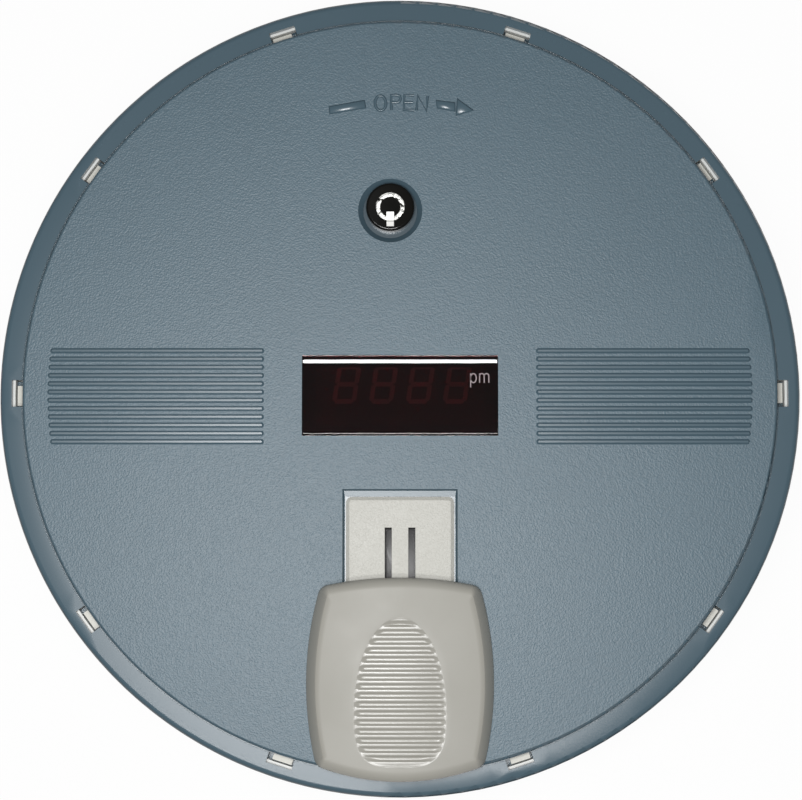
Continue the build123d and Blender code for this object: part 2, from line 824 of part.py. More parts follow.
# ---------------------------------------------------------------- parts on the tub's floor
with BuildPart() as buzzer:
    with BuildSketch(level(tub_floor_top)):
        with Locations((buzzer_x, buzzer_y)):
            Circle(buzzer_radius)
    extrude(amount=buzzer_height)
    fillet(buzzer.edges().filter_by(GeomType.CIRCLE).group_by(Axis.Z)[-1], radius=buzzer_round)
    with BuildSketch(level(tub_floor_top)):
        with Locations((buzzer_x, buzzer_y)):
            Circle(buzzer_mouth_radius)
    extrude(amount=buzzer_mouth_depth, mode=Mode.SUBTRACT)
finish(buzzer, "buzzer")

with BuildPart() as dc_jack:
    with BuildSketch(Plane.XZ.offset(-jack_front_y)):
        with Locations((0, jack_centre_z)):
            Rectangle(jack_width, jack_height)
    extrude(amount=-jack_length)
    with BuildSketch(Plane.XZ.offset(-jack_back_y)):
        with Locations((0, jack_centre_z)):
            Circle(jack_bore_radius)
            Circle(jack_pin_radius, mode=Mode.SUBTRACT)
    extrude(amount=jack_bore_depth, mode=Mode.SUBTRACT)
finish(dc_jack, "dc_jack")

with BuildPart() as power_lead:
    with BuildLine() as lead_route:
        FilletPolyline(
            (0, jack_front_y, lead_z),
            (0, lead_inner_y, lead_z),
            (0, lead_inner_y, lead_rise),
            radius=lead_bend,
        )
    with BuildSketch(Plane(origin=(0, jack_front_y, lead_z), z_dir=(0, -1, 0))):
        Circle(lead_radius)
    sweep(path=lead_route.line)
finish(power_lead, "power_lead")

with BuildPart() as tray_sensor:
    with BuildSketch(level(tub_floor_top)):
        with Locations((-sensor_circle, 0)):
            Rectangle(sensor_x, sensor_y)
    extrude(amount=sensor_height)
    with BuildSketch(level(tub_floor_top + sensor_height)):
        with Locations((-sensor_circle, 0)):
            Rectangle(sensor_slot_x, sensor_y)
    extrude(amount=-sensor_slot_depth, mode=Mode.SUBTRACT)
finish(tray_sensor, "tray_sensor")


# ================================================================ drive
def involute(angle: float) -> float:
    """The involute function of an angle in radians."""
    return math.tan(angle) - angle


def gear_outline(teeth: int, root_radius: float, tip_radius: float, slimming: float) -> list:
    """A gear's outline with involute flanks drawn as straight runs; one tooth points along X."""
    pitch_radius = gear_module * teeth / 2
    base_radius = pitch_radius * math.cos(math.radians(pressure_angle))
    pitch_half = (math.pi * gear_module / 2 - slimming) / 2 / pitch_radius
    pitch_involute = involute(math.radians(pressure_angle))
    flank = []
    for radius in (root_radius, (root_radius + pitch_radius) / 2, pitch_radius, tip_radius):
        roll = math.acos(base_radius / max(radius, base_radius))
        flank.append((radius, pitch_half + pitch_involute - involute(roll)))
    points = []
    for tooth in range(teeth):
        middle = 2 * math.pi * tooth / teeth
        for radius, half in flank:
            points.append((radius * math.cos(middle - half), radius * math.sin(middle - half)))
        for radius, half in reversed(flank):
            points.append((radius * math.cos(middle + half), radius * math.sin(middle + half)))
    return points


with BuildPart() as drive_pinion:
    pinion_points = gear_outline(pinion_teeth, pinion_root_radius, pinion_tip_radius, pinion_backlash)
    with BuildSketch(drive_level(pinion_bottom)):
        with Locations((pinion_circle, 0)):
            with BuildLine(mode=Mode.PRIVATE) as pinion_outline:
                Polyline(*pinion_points, close=True)
            add(make_face(pinion_outline.edges(), mode=Mode.PRIVATE))
            Circle(shaft_radius, mode=Mode.SUBTRACT)
    extrude(amount=pinion_height)
finish(drive_pinion, "drive_pinion")

with BuildPart() as pinion_shaft:
    with BuildSketch(drive_level(shaft_bottom)):
        with Locations((pinion_circle, 0)):
            Circle(shaft_radius)
    extrude(amount=case_bottom + shaft_depth_in_case - shaft_bottom)
finish(pinion_shaft, "pinion_shaft")

with BuildPart() as gearbox_case:
    with BuildSketch(drive_level(case_bottom)):
        with Locations((case_middle_radius, 0)):
            RectangleRounded(case_length, case_width, case_corner)
    extrude(amount=case_height)
    with BuildSketch(drive_level(case_bottom)):
        with Locations((case_middle_radius, 0)):
            SlotOverall(case_width + 2 * ear_length, ear_width, rotation=90)
    extrude(amount=ear_thickness)
    with BuildSketch(drive_level(case_bottom)):
        with Locations(*ear_places):
            Circle(screw_radius + seat_gap)
    extrude(amount=ear_thickness, mode=Mode.SUBTRACT)
    with BuildSketch(drive_level(case_bottom)):
        with Locations((pinion_circle, 0)):
            Circle(shaft_radius + running_gap)
    extrude(amount=shaft_depth_in_case + seat_gap, mode=Mode.SUBTRACT)
finish(gearbox_case, "gearbox_case")

with BuildPart() as drive_motor:
    inward = (*polar(-1, pinion_azimuth), 0)
    with BuildSketch(Plane(origin=(*polar(case_back_radius, pinion_azimuth), motor_axis_z), z_dir=inward)):
        Circle(motor_radius)
    extrude(amount=motor_length)
    with BuildSketch(Plane(origin=(*polar(case_back_radius, pinion_azimuth), motor_axis_z), z_dir=inward)):
        Circle(motor_cap_radius)
    extrude(amount=motor_length + motor_cap_length)
finish(drive_motor, "drive_motor")

with BuildPart() as motor_screws:
    with BuildSketch(drive_level(ear_top)):
        with Locations(*ear_places):
            Circle(screw_head_radius)
    extrude(amount=screw_head_height)
    with BuildSketch(drive_level(ear_top)):
        with Locations(*ear_places):
            Circle(screw_radius)
    extrude(amount=-(ear_thickness + screw_depth - screw_tip_gap))
finish(motor_screws, "motor_screws")

# ================================================================ carousel tray
with BuildPart() as tray_ring_gear:
    with BuildSketch(drive_level(ring_gear_bottom)):
        Circle(ring_gear_outer_radius)
        with BuildLine():
            Polyline(*gear_outline(ring_teeth, ring_tip_radius, ring_root_radius, -ring_backlash), close=True)
        make_face(mode=Mode.SUBTRACT)
    extrude(amount=ring_gear_height)
finish(tray_ring_gear, "tray_ring_gear")

with BuildPart() as tray_floor:
    with BuildSketch(level(tray_floor_bottom)):
        Circle(tray_outer_radius)
        Circle(tray_inner_radius, mode=Mode.SUBTRACT)
    extrude(amount=tray_floor_thickness)
    chamfer(ring_edges(tray_floor, tray_outer_radius, tray_floor_bottom), length=tray_floor_chamfer)
finish(tray_floor, "tray_floor")

with BuildPart() as tray_inner_wall:
    with BuildSketch(level(tray_floor_top)):
        Circle(compartment_inner_radius)
        Circle(tray_inner_radius, mode=Mode.SUBTRACT)
    extrude(amount=compartment_depth)
finish(tray_inner_wall, "tray_inner_wall")

with BuildPart() as tray_outer_wall:
    with BuildSketch(level(tray_floor_top)):
        Circle(tray_outer_radius)
        Circle(compartment_outer_radius, mode=Mode.SUBTRACT)
    extrude(amount=compartment_depth)
    # the wall is in lengths that are welded to each other and to the dividers' ends
    with BuildSketch(level(tray_floor_top)):
        with PolarLocations(tray_outer_radius, compartments, start_angle=180 / compartments - 90):
            Rectangle(4 * tray_wall, joint_gap)
    extrude(amount=compartment_depth, mode=Mode.SUBTRACT)
finish(tray_outer_wall, "tray_outer_wall")

with BuildPart() as tray_dividers:
    divider_middle_radius = (compartment_inner_radius + compartment_outer_radius) / 2
    with BuildSketch(level(tray_floor_top)):
        with PolarLocations(divider_middle_radius, compartments, start_angle=180 / compartments - 90):
            Rectangle(compartment_length - 2 * joint_gap, divider_thickness)
    extrude(amount=compartment_depth)
finish(tray_dividers, "tray_dividers")

# ================================================================ hub cover
with BuildPart() as hub_wall_ring:
    with BuildSketch(level(tub_floor_top + seat_gap)):
        Circle(hub_radius)
        Circle(hub_inner_radius, mode=Mode.SUBTRACT)
    extrude(amount=deck_underside - joint_gap - tub_floor_top - seat_gap)
    # gaps over the battery door's channel, round the pinion and over the power lead
    with BuildSketch(level(tub_floor_top)):
        with Locations((0, -hub_radius)):
            Rectangle(2 * (channel_half_x + tub_wall + sliding_gap), hub_radius)
    extrude(amount=pad_thickness + seat_gap, mode=Mode.SUBTRACT)
    with BuildSketch(drive_level(tub_floor_top)):
        with Locations((hub_inner_radius, 0)):
            Rectangle(4 * hub_wall, gear_window_width)
    extrude(amount=case_bottom - tub_floor_top, mode=Mode.SUBTRACT)
    with BuildSketch(level(tub_floor_top)):
        with Locations((0, hub_inner_radius)):
            Rectangle(lead_slot, 4 * hub_wall)
    extrude(amount=lead_slot, mode=Mode.SUBTRACT)
finish(hub_wall_ring, "hub_wall_ring")

with BuildPart() as hub_cover:
    with BuildSketch(Plane.XZ):
        with BuildLine():
            Polyline(
                (hub_radius, deck_underside),
                (hub_radius, deck_top),
                (island_radius, deck_top),
                (island_radius, island_top),
                (0, island_top),
                (0, island_underside),
                (island_radius - island_wall, island_underside),
                (island_radius - island_wall, deck_underside),
                close=True,
            )
        make_face()
    revolve(axis=Axis.Z)
    fillet(ring_edges(hub_cover, island_radius, island_top), radius=island_round)
    fillet(ring_edges(hub_cover, hub_radius, deck_top), radius=island_round)
    # the keeper that the turned cam stands against
    with BuildSketch(level(deck_top)):
        with Locations((keeper_x, (keeper_back_y + keeper_front_y) / 2)):
            Rectangle(keeper_thickness, keeper_front_y - keeper_back_y)
    extrude(amount=keeper_height)
    # bosses that the display board hangs from
    with BuildSketch(level(island_underside)):
        with Locations(*board_boss_places):
            Circle(board_boss_radius)
    extrude(amount=display_board_top + seat_gap - island_underside)
    with BuildSketch(level(display_board_top)):
        with Locations(*board_boss_places):
            Circle(screw_radius - 2 * running_gap)
    extrude(amount=board_screw_length - board_thickness + seat_gap, mode=Mode.SUBTRACT)
    # openings for the display and the buttons
    with BuildSketch(level(island_top)):
        with Locations((0, display_window_middle_y)):
            Rectangle(led_x + 2 * sliding_gap, led_y + 2 * sliding_gap)
        with Locations((0, button_y)):
            with GridLocations(button_pitch, 1, len(button_names), 1):
                Circle(button_radius + sliding_gap)
    extrude(amount=-island_thickness, mode=Mode.SUBTRACT)
    # screw holes in the deck
    with BuildSketch(level(deck_top)):
        with Locations(*hub_screw_places):
            Circle(screw_radius + seat_gap)
    extrude(amount=-deck_thickness, mode=Mode.SUBTRACT)
finish(hub_cover, "hub_cover")

with BuildPart() as hub_screws:
    with BuildSketch(level(deck_top)):
        with Locations(*hub_screw_places):
            Circle(screw_head_radius)
    extrude(amount=screw_head_height)
    with BuildSketch(level(deck_top)):
        with Locations(*hub_screw_places):
            Circle(screw_radius)
    extrude(amount=-(deck_thickness + screw_depth - screw_tip_gap))
finish(hub_screws, "hub_screws")

# ================================================================ lid
with BuildPart() as lid_plate:
    with BuildSketch(level(plate_underside)):
        Circle(plate_radius)
    extrude(amount=plate_thickness)
    fillet(ring_edges(lid_plate, plate_radius, plate_top), radius=plate_round)
    # thicker floors under the door's track and under the lock
    with BuildSketch(level(plate_underside)):
        with Locations((0, track_middle_y)):
            RectangleRounded(track_x + 2 * track_floor, track_y + 2 * track_floor, track_floor)
    extrude(amount=track_underside - plate_underside)
    with BuildSketch(lock_level(plate_underside)):
        with Locations((0, -dish_offset)):
            Circle(dish_radius + dish_wall)
    extrude(amount=dish_underside - plate_underside)
    # the display window
    with BuildSketch(level(plate_top)):
        with Locations((0, display_window_middle_y)):
            Rectangle(display_window_x, display_window_y)
    extrude(amount=-plate_thickness, mode=Mode.SUBTRACT)
    # the door's track, the cut for its blades and the outlet that the door covers
    with BuildSketch(level(plate_top)):
        with Locations((0, track_middle_y)):
            Rectangle(track_x, track_y)
    extrude(amount=-track_depth, mode=Mode.SUBTRACT)
    with BuildSketch(level(track_floor_top)):
        with Locations((0, slot_middle_y)):
            Rectangle(blade_spacing + slot_width, slot_length)
    extrude(amount=-track_floor, mode=Mode.SUBTRACT)
    with BuildSketch(level(plate_top)):
        with Locations((0, outlet_middle_y)):
            RectangleRounded(outlet_x, outlet_length, outlet_corner)
    extrude(amount=-plate_thickness, mode=Mode.SUBTRACT)
    # the lock's dish and hole
    with BuildSketch(lock_level(plate_top)):
        with Locations((0, -dish_offset)):
            Circle(dish_radius)
    with BuildSketch(lock_level(dish_floor_top)):
        with Locations((0, -dish_offset)):
            Circle(dish_floor_radius)
    loft(mode=Mode.SUBTRACT)
    with BuildSketch(lock_level(dish_floor_top)):
        Circle(barrel_radius + seat_gap)
    extrude(amount=-dish_floor, mode=Mode.SUBTRACT)
    # the two pads of grip ribs, whose outer ends follow the rim
    with BuildSketch(level(plate_top)) as grip_ribs:
        for side in (-1, 1):
            with Locations((side * (rib_inner_x + rim_radius) / 2, rib_centre_y)):
                with GridLocations(1, rib_pitch, 1, rib_count):
                    Rectangle(rim_radius - rib_inner_x, rib_width)
        Circle(rib_outer_radius, mode=Mode.INTERSECT)
        fillet(grip_ribs.vertices(), radius=rib_corner)
    extrude(amount=rib_height, taper=rib_draft)
finish(lid_plate, "lid_plate")

with BuildPart() as lid_rim:
    with BuildSketch(Plane.XZ):
        with BuildLine():
            Polyline(
                (neck_inner_radius, rim_underside),
                (neck_inner_radius, plate_underside - joint_gap),
                (seam_outer_radius, plate_underside - joint_gap),
                (seam_outer_radius, rim_top),
                (rim_radius, rim_top),
                (rim_radius, skirt_bottom),
                (skirt_inner_radius, skirt_bottom),
                (skirt_inner_radius, rim_underside),
                close=True,
            )
        make_face()
    revolve(axis=Axis.Z)
    fillet(ring_edges(lid_rim, rim_radius, rim_top), radius=rim_round)
    fillet(ring_edges(lid_rim, rim_radius, skirt_bottom), radius=skirt_wall / 4)
    # the bayonet lugs inside the skirt, each under its window
    with BuildSketch(level(lug_top)):
        with PolarLocations((lug_tip_radius + lug_root_radius) / 2, tab_count):
            Rectangle(lug_root_radius - lug_tip_radius, lug_length)
    extrude(amount=-lug_thickness)
    with BuildSketch(level(rim_top)):
        with PolarLocations(window_middle_radius, tab_count):
            Rectangle(window_depth, window_length)
    extrude(amount=-rim_thickness, mode=Mode.SUBTRACT)
finish(lid_rim, "lid_rim")

with BuildPart() as lid_glide_ring:
    with BuildSketch(level(rim_underside - seat_gap)):
        Circle(ring_outer_radius)
        Circle(ring_inner_radius, mode=Mode.SUBTRACT)
    extrude(amount=-ring_height)
finish(lid_glide_ring, "lid_glide_ring")

with BuildPart() as display_lens:
    lens_flange_x = display_window_x + 2 * lens_flange
    lens_flange_y = display_window_y + 2 * lens_flange
    with BuildSketch(level(plate_underside)):
        with Locations((0, display_window_middle_y)):
            RectangleRounded(lens_flange_x, lens_flange_y, lens_flange)
    extrude(amount=-lens_flange_thickness)
    with BuildSketch(level(plate_underside)):
        with Locations((0, display_window_middle_y)):
            Rectangle(display_window_x - 2 * lens_gap, display_window_y - 2 * lens_gap)
    extrude(amount=lens_rise)
    chamfer(display_lens.edges().group_by(Axis.Z)[-1].filter_by(Axis.X), length=lens_bevel)
finish(display_lens, "display_lens")

with BuildPart() as track_plate:
    with BuildSketch(level(track_floor_top)) as plate_outline:
        with Locations((0, (track_plate_back_y + track_plate_front_y) / 2)):
            Rectangle(track_x - 2 * track_plate_side_gap, track_plate_back_y - track_plate_front_y)
        fillet(plate_outline.vertices().group_by(Axis.Y)[-1], radius=track_plate_corner)
    extrude(amount=track_plate_thickness)
    chamfer(
        track_plate.edges().group_by(Axis.Z)[-1].filter_by(Axis.Y),
        length=track_plate_bevel,
        length2=track_plate_bevel_width,
    )
    with BuildSketch(level(track_floor_top)):
        with Locations((0, slot_middle_y)):
            with GridLocations(blade_spacing, 1, 2, 1):
                Rectangle(slot_width, slot_length)
    extrude(amount=track_plate_thickness, mode=Mode.SUBTRACT)
finish(track_plate, "track_plate")


# ================================================================ sliding door
def door_profile(inset: float) -> Sketch:
    """The door's barrel outline seen from above, drawn in by that much all round."""
    back_x = door_back_half_width - inset
    back_y = door_back_y - inset
    back_corner_y = back_y - door_back_crown
    side_x = door_half_width - inset
    side_y = door_front_y + door_widest
    front_x = door_front_half_width - inset
    front_y = door_front_y + inset
    front_corner_y = front_y + door_front_crown
    with BuildSketch() as profile:
        with BuildLine():
            ThreePointArc((-back_x, back_corner_y), (0, back_y), (back_x, back_corner_y))
            ThreePointArc((back_x, back_corner_y), (side_x, side_y), (front_x, front_corner_y))
            ThreePointArc((front_x, front_corner_y), (0, front_y), (-front_x, front_corner_y))
            ThreePointArc((-front_x, front_corner_y), (-side_x, side_y), (-back_x, back_corner_y))
        make_face()
        fillet(profile.vertices(), radius=door_corner_round - inset)
    return profile.sketch


def grip_profile(inset: float) -> Sketch:
    """The egg-shaped finger grip seen from above, drawn in by that much all round."""
    half_width = grip_half_width - inset
    with BuildSketch() as profile:
        with BuildLine():
            EllipticalCenterArc((0, grip_widest_y), half_width, grip_back_length - inset, 0, arc_size=180)
            EllipticalCenterArc((0, grip_widest_y), half_width, grip_front_length - inset, 180, arc_size=180)
        make_face()
    return profile.sketch


# what is cut away between the grip's ribs
with BuildPart() as grip_cut:
    with BuildSketch(level(door_bottom)):
        add(grip_profile(0))
    extrude(amount=2 * door_height)
    with BuildSketch(Plane.XZ):
        with Locations((0, door_top - door_crown_radius)):
            Circle(door_crown_radius - grip_depth)
    extrude(amount=2 * rim_radius, mode=Mode.SUBTRACT)
    with BuildSketch(level(door_bottom)):
        with Locations((0, door_front_y + grip_rib_start + (grip_rib_count - 1) * grip_rib_pitch / 2)):
            with GridLocations(1, grip_rib_pitch, 1, grip_rib_count):
                Rectangle(2 * grip_half_width, grip_rib_width)
        add(grip_profile(grip_rib_margin), mode=Mode.INTERSECT)
    extrude(amount=2 * door_height, mode=Mode.SUBTRACT)

with BuildPart() as door_cap:
    with BuildSketch(level(door_bottom)):
        add(door_profile(0))
    extrude(amount=door_height)
    with BuildSketch(Plane.XZ):
        with Locations((0, door_top - door_crown_radius)):
            Circle(door_crown_radius)
    extrude(amount=2 * rim_radius, mode=Mode.INTERSECT)
    fillet(door_cap.faces().sort_by(Axis.Z)[-1].edges(), radius=door_edge_round)
    add(grip_cut.part, mode=Mode.SUBTRACT)
    # the hollow underneath
    with BuildSketch(level(door_bottom)):
        add(door_profile(door_wall))
    extrude(amount=door_height - door_wall - door_edge_round, mode=Mode.SUBTRACT)
    # two guide blades, staked over under the retainer
    with BuildSketch(level(door_top - door_edge_round)):
        with Locations((0, blade_middle_y)):
            with GridLocations(blade_spacing, 1, 2, 1):
                Rectangle(blade_width, blade_length)
    extrude(amount=stake_bottom - door_top + door_edge_round)
    with BuildSketch(level(stake_bottom)):
        with Locations((0, blade_middle_y)):
            with GridLocations(blade_spacing, 1, 2, 1):
                Rectangle(stake_width, blade_length)
    extrude(amount=stake_height)
finish(door_cap, "door_cap")

with BuildPart() as door_shutter:
    with BuildSketch(level(door_bottom + seat_gap)):
        add(door_profile(door_wall + seat_gap))
        with Locations((0, blade_middle_y)):
            with GridLocations(blade_spacing, 1, 2, 1):
                Rectangle(blade_width + 2 * seat_gap, blade_length + 2 * seat_gap, mode=Mode.SUBTRACT)
    extrude(amount=shutter_thickness)
finish(door_shutter, "door_shutter")

with BuildPart() as door_retainer:
    with BuildSketch(level(retainer_bottom)):
        with Locations((0, blade_middle_y)):
            RectangleRounded(retainer_x, blade_length + 2 * retainer_margin, retainer_corner)
            with GridLocations(blade_spacing, 1, 2, 1):
                Rectangle(blade_width, blade_length, mode=Mode.SUBTRACT)
    extrude(amount=retainer_thickness)
finish(door_retainer, "door_retainer")

# ================================================================ lock
with BuildPart() as lock_body:
    with BuildSketch(lock_level(dish_floor_top)):
        Circle(lock_face_radius)
    extrude(amount=lock_face_height)
    fillet(lock_body.edges().filter_by(GeomType.CIRCLE).group_by(Axis.Z)[-1], radius=lock_face_round)
    with BuildSketch(lock_level(dish_floor_top)):
        Circle(barrel_radius)
    extrude(amount=-barrel_length)
    with BuildSketch(lock_level(barrel_bottom)):
        Circle(keyway_outer_radius)
    extrude(amount=lock_face_top - barrel_bottom, mode=Mode.SUBTRACT)
    with BuildSketch(lock_level(lock_face_top)):
        Rectangle(notch_width, face_notch_end, align=(Align.CENTER, Align.MAX))
    extrude(amount=-keyway_depth, mode=Mode.SUBTRACT)
finish(lock_body, "lock_body")

with BuildPart() as lock_notch_insert:
    insert_start = keyway_outer_radius + running_gap
    with BuildSketch(lock_level(keyway_floor)):
        with Locations((0, -insert_start)):
            Rectangle(notch_width, face_notch_end - insert_start, align=(Align.CENTER, Align.MAX))
    extrude(amount=keyway_depth - notch_insert_drop)
finish(lock_notch_insert, "lock_notch_insert")

with BuildPart() as lock_nut:
    with BuildSketch(lock_level(dish_underside)):
        RegularPolygon(nut_flats / 2, 6, major_radius=False)
        Circle(barrel_radius, mode=Mode.SUBTRACT)
    extrude(amount=-nut_thickness)
finish(lock_nut, "lock_nut")

with BuildPart() as lock_plug:
    with BuildSketch(lock_level(barrel_bottom)):
        Circle(keyway_outer_radius - running_gap)
    extrude(amount=keyway_floor - barrel_bottom)
    with BuildSketch(lock_level(barrel_bottom)):
        Circle(tail_radius)
    extrude(amount=-tail_length)
    with BuildSketch(lock_level(keyway_floor)):
        with PolarLocations((keyway_outer_radius + post_radius) / 2, pin_count, start_angle=90):
            Circle(pin_radius)
    extrude(amount=pin_height)
    # the nib that lines up with the key's groove
    with BuildSketch(lock_level(keyway_floor)):
        with Locations((0, -post_notch_start)):
            Rectangle(
                notch_width,
                keyway_outer_radius - nib_gap - post_notch_start,
                align=(Align.CENTER, Align.MAX),
            )
    extrude(amount=keyway_depth - notch_insert_drop)
    with BuildSketch(lock_level(tail_bottom)):
        Circle(cam_screw_radius)
    extrude(amount=cam_screw_length + seat_gap, mode=Mode.SUBTRACT)
finish(lock_plug, "lock_plug")

with BuildPart() as lock_post:
    with BuildSketch(lock_level(keyway_floor)):
        Circle(post_radius)
        with Locations((0, -post_notch_start)):
            Rectangle(notch_width, post_radius, align=(Align.CENTER, Align.MAX), mode=Mode.SUBTRACT)
    extrude(amount=keyway_depth - post_drop)
finish(lock_post, "lock_post")

with BuildPart() as lock_cam:
    with BuildSketch(lock_level(cam_bottom)):
        Circle(cam_hub_radius)
        with Locations((-cam_reach / 2, 0)):
            Rectangle(cam_reach, cam_width)
        Circle(tail_radius, mode=Mode.SUBTRACT)
    extrude(amount=cam_thickness)
    fillet(lock_cam.edges().filter_by(Axis.Z).group_by(Axis.X)[0], radius=cam_corner)
finish(lock_cam, "lock_cam")

with BuildPart() as lock_cam_screw:
    with BuildSketch(lock_level(tail_bottom)):
        Circle(cam_screw_head_radius)
    extrude(amount=-cam_screw_head)
    with BuildSketch(lock_level(tail_bottom)):
        Circle(cam_screw_radius)
    extrude(amount=cam_screw_length)
finish(lock_cam_screw, "lock_cam_screw")
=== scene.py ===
"""Automatic pill dispenser: the finishes, fine shapes, lights and camera for the packed model.

The frame is the packed CAD model, in metres: +Z is up, the door faces -Y and the carousel turns about Z.
"""

import bisect
import math

import bmesh
import bpy
from bpy.props import FloatProperty, FloatVectorProperty, PointerProperty
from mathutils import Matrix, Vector


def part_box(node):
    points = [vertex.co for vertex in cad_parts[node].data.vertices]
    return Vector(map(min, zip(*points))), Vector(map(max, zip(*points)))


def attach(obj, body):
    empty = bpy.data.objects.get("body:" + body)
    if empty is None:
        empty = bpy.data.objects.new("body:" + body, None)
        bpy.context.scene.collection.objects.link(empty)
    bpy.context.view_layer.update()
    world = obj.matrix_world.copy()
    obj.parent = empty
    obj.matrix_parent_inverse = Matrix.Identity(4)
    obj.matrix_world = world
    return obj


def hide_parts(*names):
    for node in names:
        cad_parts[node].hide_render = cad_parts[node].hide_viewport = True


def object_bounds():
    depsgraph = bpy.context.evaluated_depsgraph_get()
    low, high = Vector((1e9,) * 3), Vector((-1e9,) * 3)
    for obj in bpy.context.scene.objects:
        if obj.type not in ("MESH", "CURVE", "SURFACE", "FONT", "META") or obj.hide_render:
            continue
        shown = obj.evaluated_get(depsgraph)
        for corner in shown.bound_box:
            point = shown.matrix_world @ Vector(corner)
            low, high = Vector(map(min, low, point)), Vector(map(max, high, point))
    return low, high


bl_info = {
    "name": "Pill dispenser dressing",
    "version": (1, 0, 0),
    "blender": (4, 5, 0),
    "location": "View3D > Sidebar > Dispenser",
    "description": "Finishes, fine shapes, lights and camera for an automatic pill dispenser",
    "category": "Object",
}

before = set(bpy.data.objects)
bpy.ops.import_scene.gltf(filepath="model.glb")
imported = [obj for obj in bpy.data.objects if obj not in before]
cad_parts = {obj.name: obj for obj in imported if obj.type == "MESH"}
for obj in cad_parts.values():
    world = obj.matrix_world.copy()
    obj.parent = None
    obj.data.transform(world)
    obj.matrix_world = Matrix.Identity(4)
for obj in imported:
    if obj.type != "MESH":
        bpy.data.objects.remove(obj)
CAD_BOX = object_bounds()
MM = 0.001
PLATE_TOP = 49.2 * MM


def linear(hexadecimal):
    """An sRGB hex colour as linear red, green and blue."""
    parts = [int(hexadecimal[i : i + 2], 16) / 255 for i in (0, 2, 4)]
    return tuple(p / 12.92 if p <= 0.04045 else ((p + 0.055) / 1.055) ** 2.4 for p in parts)


def tint(name, description, hexadecimal):
    """A colour property."""
    return FloatVectorProperty(
        name=name, description=description, default=linear(hexadecimal), subtype="COLOR", min=0, max=1
    )


def length(name, description, millimetres):
    """A length property, with its default in mm."""
    return FloatProperty(
        name=name, description=description, default=millimetres * MM, unit="LENGTH", precision=5
    )


def share(name, description, default):
    """A property from 0 to 1."""
    return FloatProperty(name=name, description=description, default=default, min=0, max=1)


def turn(name, description, degrees):
    """An angle property, with its default in degrees."""
    return FloatProperty(name=name, description=description, default=math.radians(degrees), subtype="ANGLE")


def spot(name, description, millimetres):
    """A place property, with its default in mm."""
    place = tuple(part * MM for part in millimetres)
    return FloatVectorProperty(name=name, description=description, default=place, subtype="TRANSLATION")


def solid(colour):
    """A colour with full alpha, as a shader socket takes it."""
    return (*colour, 1)


def add_node(tree, kind, inputs=None, **settings):
    """Adds a node, sets its properties, and sets or links its inputs by name or number."""
    node = tree.nodes.new(kind)
    for name, value in settings.items():
        setattr(node, name, value)
    for key, value in (inputs or {}).items():
        if isinstance(value, bpy.types.NodeSocket):
            tree.links.new(value, node.inputs[key])
        else:
            node.inputs[key].default_value = value
    return node


# ---------------------------------------------------------------- finishes
def new_finish(name, **uniform):
    """A material with a Principled shader; returns it, its tree, the shader and the object coordinates."""
    finish = bpy.data.materials.new(name)
    finish.use_nodes = True
    tree = finish.node_tree
    tree.nodes.clear()
    shader = add_node(tree, "ShaderNodeBsdfPrincipled")
    for key, value in uniform.items():
        shader.inputs[key.replace("_", " ")].default_value = value
    add_node(tree, "ShaderNodeOutputMaterial", {"Surface": shader.outputs[0]})
    place = add_node(tree, "ShaderNodeTexCoord").outputs["Object"]
    return finish, tree, shader, place


def mottle(tree, place, colour, spread, size, detail=2.0):
    """A colour that drifts a little lighter and darker over patches of that size, in metres."""
    noise = add_node(tree, "ShaderNodeTexNoise", {"Vector": place, "Scale": 1 / size, "Detail": detail})
    dark = solid([c * (1 - spread) for c in colour])
    light = solid([min(1, c * (1 + spread)) for c in colour])
    mix = add_node(
        tree, "ShaderNodeMix", {"Factor": noise.outputs["Fac"], 6: dark, 7: light}, data_type="RGBA"
    )
    return mix.outputs[2]


def patchy(tree, place, low, high, size):
    """A roughness that drifts between two values over patches of that size."""
    noise = add_node(tree, "ShaderNodeTexNoise", {"Vector": place, "Scale": 1 / size, "Detail": 3.0})
    ranged = add_node(
        tree,
        "ShaderNodeMapRange",
        {"Value": noise.outputs["Fac"], "From Min": 0.3, "From Max": 0.7, "To Min": low, "To Max": high},
    )
    return ranged.outputs["Result"]


def roughen(tree, shader, place, grain, depth, detail):
    """Gives a shader bumps that are that far apart and that high."""
    noise = add_node(tree, "ShaderNodeTexNoise", {"Vector": place, "Scale": 1 / grain, "Detail": detail})
    bump = add_node(
        tree, "ShaderNodeBump", {"Height": noise.outputs["Fac"], "Distance": depth, "Strength": 1.0}
    )
    tree.links.new(bump.outputs["Normal"], shader.inputs["Normal"])


def moulded(name, colour, grain, depth, roughness, spread=0.04, **uniform):
    """Injection-moulded plastic: a fine spark-eroded grain and a satin sheen that drifts a little."""
    finish, tree, shader, place = new_finish(name, **uniform)
    tree.links.new(mottle(tree, place, colour, spread, 30 * MM), shader.inputs["Base Color"])
    tree.links.new(
        patchy(tree, place, roughness - 0.05, roughness + 0.05, 20 * MM), shader.inputs["Roughness"]
    )
    roughen(tree, shader, place, grain, depth, 2.0)
    return finish


def metal(name, colour, grain, depth, roughness, stretch=(1, 1, 1)):
    """Metal whose fine marks run along one way where stretch says so."""
    finish, tree, shader, place = new_finish(name, Metallic=1.0)
    mapped = add_node(tree, "ShaderNodeMapping", {"Vector": place, "Scale": stretch}).outputs["Vector"]
    tree.links.new(mottle(tree, mapped, colour, 0.08, 6 * MM), shader.inputs["Base Color"])
    tree.links.new(
        patchy(tree, mapped, roughness * 0.7, roughness * 1.3, 4 * MM), shader.inputs["Roughness"]
    )
    roughen(tree, shader, mapped, grain, depth, 3.0)
    return finish


